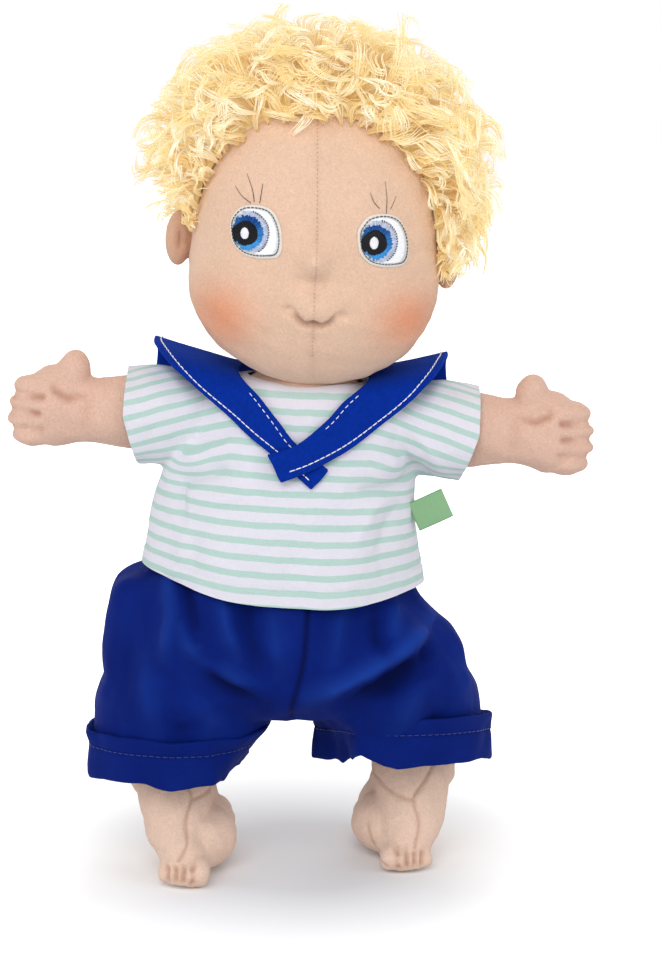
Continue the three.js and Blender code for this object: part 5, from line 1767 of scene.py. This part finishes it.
def sew_pupil(name, eye):
    def keep(places):
        return within_oval(places, PUPIL, PUPIL_RADII) & ~within_oval(places, SPARK, SPARK_RADII)

    rows = satin(keep, math.radians(80), 0.27)
    tints = varied(rgb(7, 7, 14), rows, 0.5, 1.6)
    pupil = lay_threads(f"{name}_pupil_threads", rows, eye, 1.45, 0.2, tints, "eye_black")
    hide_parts(f"{name}_pupil")
    wider = (SPARK_RADII[0] + 0.15, SPARK_RADII[1] + 0.15)
    rows = satin(lambda places: within_oval(places, SPARK, wider), 0.1, 0.27)
    tints = varied(rgb(240, 240, 244), rows, 0.94, 1.02)
    lay_threads(f"{name}_eye_spark_threads", rows, eye, 1.55, 0.2, tints, "eye_white")


# %% Border of an eye
def sew_border(name, eye):
    border = eye_outline(400, 1.0)
    dashes = [(border[start], border[(start + 5) % 400]) for start in range(0, 400, 8)]
    for angle in np.arange(-1.25, 1.35, 0.11):
        ends = ((angle, 7.6), (angle + 0.05, 8.0))
        a, b = (IRIS + np.array([math.cos(t), math.sin(t)]) * reach for t, reach in ends)
        if inside(a, eye_outline(inset=2.2)):
            dashes.append((a, b))
    tints = varied(rgb(72, 80, 92), dashes, 0.8, 1.2)
    lay_threads(f"{name}_eye_border_stitches", dashes, eye, 1.3, 0.2, tints, "eye_black", 4)


# %% Eyes
EYES = {"right": (-22.3, 53.1), "left": (22.4, 53.1)}
for name, eye in EYES.items():
    for sew in (sew_patch, sew_white, sew_iris, sew_pupil, sew_border):
        sew(name, eye)

# %% [markdown]
# Three thin lashes are drawn with single threads above each eye, and a line of tiny stitches runs
# down the middle of the face, where its two halves are sewn together.

# %% Lashes and face seam
LASHES = [
    [(-25, 62.9), (-28.4, 65.1), (-30.9, 68.1)], [(-23.8, 63.4), (-24.8, 67.6), (-27.1, 72.9)],
    [(-21.9, 63.2), (-21.6, 66.2), (-21.3, 69.9)], [(20.4, 64.2), (18.2, 66.4), (16.7, 69.6)],
    [(22.9, 62.1), (22.8, 67.8), (21.8, 73.7)], [(24.3, 64.2), (25.3, 66.4), (26.1, 68.9)],
]
lines = [[on_face(x, z, 0.12)[0] for x, z in curve_through(lash, 12)] for lash in LASHES]
thin = np.interp(np.linspace(0, 1, 12), [0, 0.3, 1], [0.15, 0.17, 0.08])
thickness = np.outer([0.9, 1.0, 1.15, 1.0, 0.75, 0.6], thin)
lashes = tubes("lash_threads", place(head_frame, lines), thickness, 5)
dress(lashes, "head", "eye_black", thread_finish("brown_thread", rgb(98, 80, 78), 0.6))
path, outs = [], []
for x, z in curve_through(FACE_SEAM[:34], 260):
    spot, normal = on_face(x, z, 0.05)
    path.append(spot)
    outs.append(normal)
seam_rows = stitch_lines(path, outs, 1.55, 0.36, 0.12)
face_seam = tubes("face_seam_stitches", place(head_frame, seam_rows), 0.13, 4)
dress(face_seam, "head", "velour", thread_finish("grey_thread", rgb(186, 158, 146), 0.8))

# %% [markdown]
# The wig is a cloth cap with a pile of loose, shiny curls. Blender's hair system would grow them
# fast, but it isn't a mesh, and this model has to be one. So each lock is a group of fine tapered
# tubes that share one curling path, with their own phase, length and tone. The roots cover the cap,
# the locks sweep away from the crown and sideways over the forehead, and gravity pulls their ends.

# %% Wig cap
HAIRLINE_X = [-47, -45.6, -43.6, -35.5, -21, -3.7, 12, 25.7, 39.0, 44, 47]
HAIRLINE_Z = [50, 56, 66.5, 82, 91.6, 95.4, 93.2, 87, 72.4, 53, 38]


def above_hairline(places):
    """How far places on the head are inside the wig, roughly in millimetres."""
    front = places[:, 2] - np.interp(places[:, 0], HAIRLINE_X, HAIRLINE_Z)
    over_ear = 12.5 * smooth_step(-places[:, 0], 10, 40) * smooth_step(-places[:, 1], -24, -6)
    side = places[:, 2] - (46.5 + over_ear - 0.465 * places[:, 1])
    at_front = smooth_step(-places[:, 1], 9, 15)
    return front * at_front + side * (1 - at_front)


bpy.ops.mesh.primitive_uv_sphere_add(segments=128, ring_count=80, radius=1)
cap = settle(bpy.context.active_object, "wig_cap_cloth")
cap_local = head_surface(unit(points(cap) * MM), 1.6)
set_points(cap, place(head_frame, cap_local))
trim(cap, above_hairline(cap_local) - 1.5)
thicken(cap, 1.2)
set_attribute(cap, "fold", np.zeros(len(cap.data.vertices)))
cap_finish = plain_finish("wig_backing_cloth", rgb(244, 220, 160), 0.9, 0.8, 0.2)
dress(cap, "head", "wig_cloth", cap_finish, "wig_backing")

# %% Outline of the hair
PILE_HALF = np.array([67.0, 55.0, 58.0])
PILE_MIDDLE = np.array([-1.0, 1.5, 72.0])
PILE_SQUARENESS = 2.35
CROWN = np.array([-4.0, 8.0, 112.0])
print("hair outline:", 2 * PILE_HALF, "mm")


def pile_level(places):
    """How far out a place is in the pile: 0 in its middle and 1 on its outline."""
    total = (np.abs((places - PILE_MIDDLE) / PILE_HALF) ** PILE_SQUARENESS).sum(-1)
    return total ** (1 / PILE_SQUARENESS)


def spread_out(places, apart, most):
    """Picks places that keep a distance from each other."""
    chosen = [0]
    for i in range(1, len(places)):
        if len(chosen) >= most:
            break
        if np.min(np.linalg.norm(places[chosen] - places[i], axis=1)) > apart:
            chosen.append(i)
    return places[chosen]


def across_to(vectors, normal):
    """The part of each vector that lies across a normal."""
    return vectors - (vectors * normal).sum(1, keepdims=True) * normal


# %% Roots of the locks
LOCKS = 1450
RIM_LOCKS = 260
draw = np.random.default_rng(23)
tries = unit(draw.normal(size=(14000, 3)))
roots = head_surface(tries, 2.6)
rim = above_hairline(roots)
on_rim = (rim > -1.0) & (rim < 1.5)
rim_roots = spread_out(head_surface(tries[on_rim], 0.6), 1.3, RIM_LOCKS)
roots = np.concatenate([spread_out(roots[rim > 1.5], 2.0, LOCKS), rim_roots])
locks = len(roots)
rim = above_hairline(roots)
inside_pile = smooth_step(rim, 0, 10)
out_of_head = unit((roots - HEAD_MIDDLE) / [HEAD_HALF[0] ** 2, HEAD_HALF[1] ** 2, 60**2])
room = np.linalg.norm(roots - PILE_MIDDLE, axis=1) * (1 / pile_level(roots) - 1)
print("roots:", locks, "with", len(rim_roots), "of them along the hairline")

# %% [markdown]
# Each lock gets a heading over the head. It starts away from the crown, parts to the sides over the
# forehead and wanders, so that neighbours agree and the whole stays loose. Along the hairline it is
# turned inward, so that no lock falls over the face or the ear.

# %% Headings of the locks
sweep = unit(roots - CROWN)
at_front = smooth_step(-roots[:, 1], 5, 30) * smooth_step(roots[:, 2], 60, 85)
sideways = np.sign(roots[:, 0] - 4 + draw.normal(0, 5, locks))
parted = np.stack([sideways, -0.25 + 0 * sideways, 0.05 + 0 * sideways], axis=1)
sweep = sweep * (1 - 0.75 * at_front)[:, None] + 1.1 * parted * at_front[:, None]
near_crown = 1 - smooth_step(np.linalg.norm(roots - CROWN, axis=1), 10, 42)
wander = np.stack([lumps(roots, 24, 80 + k) for k in range(3)], axis=1)
sweep = unit(sweep) + (0.85 + 0.8 * near_crown)[:, None] * wander + draw.normal(0, 0.34, (locks, 3))

inward = []
for step in 1.5 * np.eye(3):
    inward.append(above_hairline(roots + step) - above_hairline(roots - step))
inward = unit(across_to(np.stack(inward, axis=1), out_of_head))
beside_ear = smooth_step(-roots[:, 0], 20, 40) * (1 - smooth_step(-roots[:, 1], 18, 30))
beside_ear = beside_ear * (1 - smooth_step(rim, 14, 26))
up = sweep[:, 2]
sweep[:, 2] = np.where(up < 0, up * (1 - beside_ear), up) + 0.35 * beside_ear
sweep = across_to(sweep, out_of_head)
facing_rim = (unit(sweep) * inward).sum(1)
lacking = np.maximum(draw.uniform(0.05, 0.8, locks) - facing_rim, 0)
lacking = lacking * (1 - smooth_step(rim, 3, 14)) * (roots[:, 1] < 0)
sweep = unit(unit(sweep) + 1.3 * lacking[:, None] * inward)
beside = np.cross(out_of_head, sweep)
print("locks turned inward:", int((lacking > 0).sum()))

# %% Size and curl of the locks
clump = lumps(roots, 22, 90)
shorter = (1 - 0.4 * near_crown) * (1 - 0.35 * beside_ear)
length = draw.uniform(15, 29, locks) * (0.55 + 0.45 * inside_pile) * shorter
fullness = draw.uniform(0.5, 1.02, locks) + 0.25 * near_crown + 0.15 * clump
height = room * fullness * (0.35 + 0.65 * inside_pile)
swing = draw.uniform(0.4, 1.25, locks)
waves = draw.uniform(0.5, 1.25, locks)
phase = draw.uniform(0, 2 * math.pi, locks)
hook = draw.normal(0, 2.0, locks)
bob = draw.uniform(0.6, 2.6, locks)
flick = draw.normal(0.6, 3.0, locks)
droop = draw.uniform(0, 4, locks) * (1 - 0.6 * smooth_step(roots[:, 2], 70, 105))
droop = droop * (1 - beside_ear) * smooth_step(rim, 2, 20)
print("locks are", length.min().round(), "to", length.max().round(), "mm long")

# %% [markdown]
# A lock is a ribbon of fine strands side by side. They share its curl, which swings from side to
# side, bobs up and down and flicks out at its end, and each has a little of its own. In a table with
# a row for each strand and a column for each step along it, all are worked out at once.

# %% Strands
STRANDS = 8
STEPS = 15
STRAY_SHARE = 0.12
share = np.linspace(0, 1, STEPS)
count = locks * STRANDS


def per_strand(values):
    return np.repeat(values, STRANDS, axis=0)


def column(values):
    return per_strand(values)[:, None]


fan = np.tile(np.linspace(-1, 1, STRANDS), locks)[:, None] + draw.normal(0, 0.15, count)[:, None]
reach = (draw.uniform(0.84, 1.04, count)[:, None] - 0.06 * fan**2) * share
start = column(phase) + 0.12 * fan
aim = column(swing) * (np.sin(2 * math.pi * column(waves) * reach + start) - np.sin(start))
aim = aim + column(hook) * reach**3 + 0.1 * fan
stride = column(length) * 1.35 * np.maximum(reach, 0.01) ** 0.35 / (STEPS - 1)
ahead = np.cumsum(stride * np.cos(aim), axis=1)
aside = np.cumsum(stride * np.sin(aim), axis=1)
taper = 0.35 + 0.95 * np.sin(math.pi * np.clip(reach, 0, 1) ** 0.8)
width = column(draw.uniform(0.45, 1.15, locks)) * taper
rise = column(height) * (1 - (1 - np.minimum(reach, 1)) ** 2.2)
rise = rise + column(bob) * np.sin(2 * math.pi * 0.9 * column(waves) * reach + 2.1 * start) * reach
rise = rise + column(flick) * reach**3 + (0.3 * fan**2 + draw.normal(0, 0.12, count)[:, None]) * width
strand_out, strand_sweep, strand_side = (per_strand(v)[:, None] for v in (out_of_head, sweep, beside))
paths = per_strand(roots)[:, None] + strand_out * rise[..., None]
paths = paths + strand_sweep * (ahead - np.sin(aim) * fan * width)[..., None]
paths = paths + strand_side * (aside + np.cos(aim) * fan * width)[..., None]
astray = np.where(draw.uniform(0, 1, count) < STRAY_SHARE, 2.4, 0.3)[:, None, None]
paths = paths + draw.normal(0, 1, (count, 3))[:, None] * astray * (reach**1.9)[..., None]
paths[..., 2] -= column(droop) * reach**2
print("strands:", count)

# %% Strands kept in the pile and off the head
level = pile_level(paths)
far_out = np.where(draw.uniform(0, 1, locks) < 0.1, 0.06, 0)
limit = column(draw.uniform(0.88, 1.03, locks) + 0.045 * clump + far_out)
limit = limit + draw.uniform(-0.02, 0.02, count)[:, None]
soft_limit = limit - 0.08 + 0.08 * np.tanh((level - limit + 0.08) / 0.14)
pressed = np.where(level > limit - 0.08, soft_limit, level)
paths = PILE_MIDDLE + (paths - PILE_MIDDLE) * (pressed / level)[..., None]
from_head = paths - HEAD_MIDDLE
over_cap = 0.7 + 1.9 * smooth_step(above_hairline(paths.reshape(-1, 3)), 0, 2.5)
bare = head_surface(from_head.reshape(-1, 3), over_cap).reshape(paths.shape)
depth = np.linalg.norm(from_head, axis=-1) / np.linalg.norm(bare - HEAD_MIDDLE, axis=-1)
paths = np.where(depth[..., None] < 1, bare, paths)
print("strand points lifted off the head:", int((depth < 1).sum()))

# %% [markdown]
# The fibre is shiny and lets light through. A translucent shader beside the plain one carries the
# light on, and a weak glow, which is painted light, stands for what many crossing fibres pass to
# each other. The roots are a deeper yellow than the ends, as painted shade deep in the pile, and
# each lock has its own tone.

# %% Finish of the hair
hair_finish, tree, shader = new_material("blond_curls")
pale = mixed(tree, stored(tree, "tone"), rgb(250, 234, 184), rgb(254, 252, 240))
# Painted shade: the strands are a deeper yellow towards their roots, deep in the pile.
root_shade = span(tree, stored(tree, "along"), 0.05, 0.55, 0.75, 0)
hair_colour = mixed(tree, root_shade, pale, rgb(242, 214, 152))
# Painted light: the hair glows a little, with a dimmer and darker glow near the roots.
root_glow_shade = span(tree, stored(tree, "along"), 0.1, 0.7, 0.7, 0)
feed(tree, shader, {
    "Base Color": hair_colour, "Roughness": 0.38, "Specular IOR Level": 0.65,
    "Emission Color": mixed(tree, root_glow_shade, pale, rgb(186, 156, 100)), "Emission Strength": 0.31,
})
through = node(tree, "BsdfTranslucent", {"Color": hair_colour})
fibre = node(tree, "MixShader", {0: 0.5, 1: shader.outputs[0], 2: through.outputs[0]})
feed(tree, tree.nodes["Material Output"], {"Surface": fibre.outputs[0]})
print("hair finish:", hair_finish.name)

# %% Hair, cut into six parts round the head
HAIR_PARTS = ["back_right", "right", "front_right", "front_left", "left", "back_left"]
tone = per_strand(draw.normal(0.5, 0.28, locks)) + draw.normal(0, 0.12, count)
tone = np.clip(tone, 0, 1)
thinned = np.interp(share, [0, 0.5, 0.85, 1], [0.9, 1, 0.75, 0.25])
thickness = draw.uniform(0.15, 0.24, count)[:, None] * thinned
around = np.arctan2(per_strand(roots)[:, 0] + 2, -(per_strand(roots)[:, 1]))
order = np.argsort(around, kind="stable")
for name, chosen in zip(HAIR_PARTS, np.array_split(order, len(HAIR_PARTS))):
    notes = {"tone": tone[chosen][:, None], "along": share[None, :]}
    hair = tubes(f"hair_{name}", place(head_frame, paths[chosen]), thickness[chosen], 3, notes)
    dress(hair, "head", "curls", hair_finish)
    if name == "front_left":
        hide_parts("hair_pile")
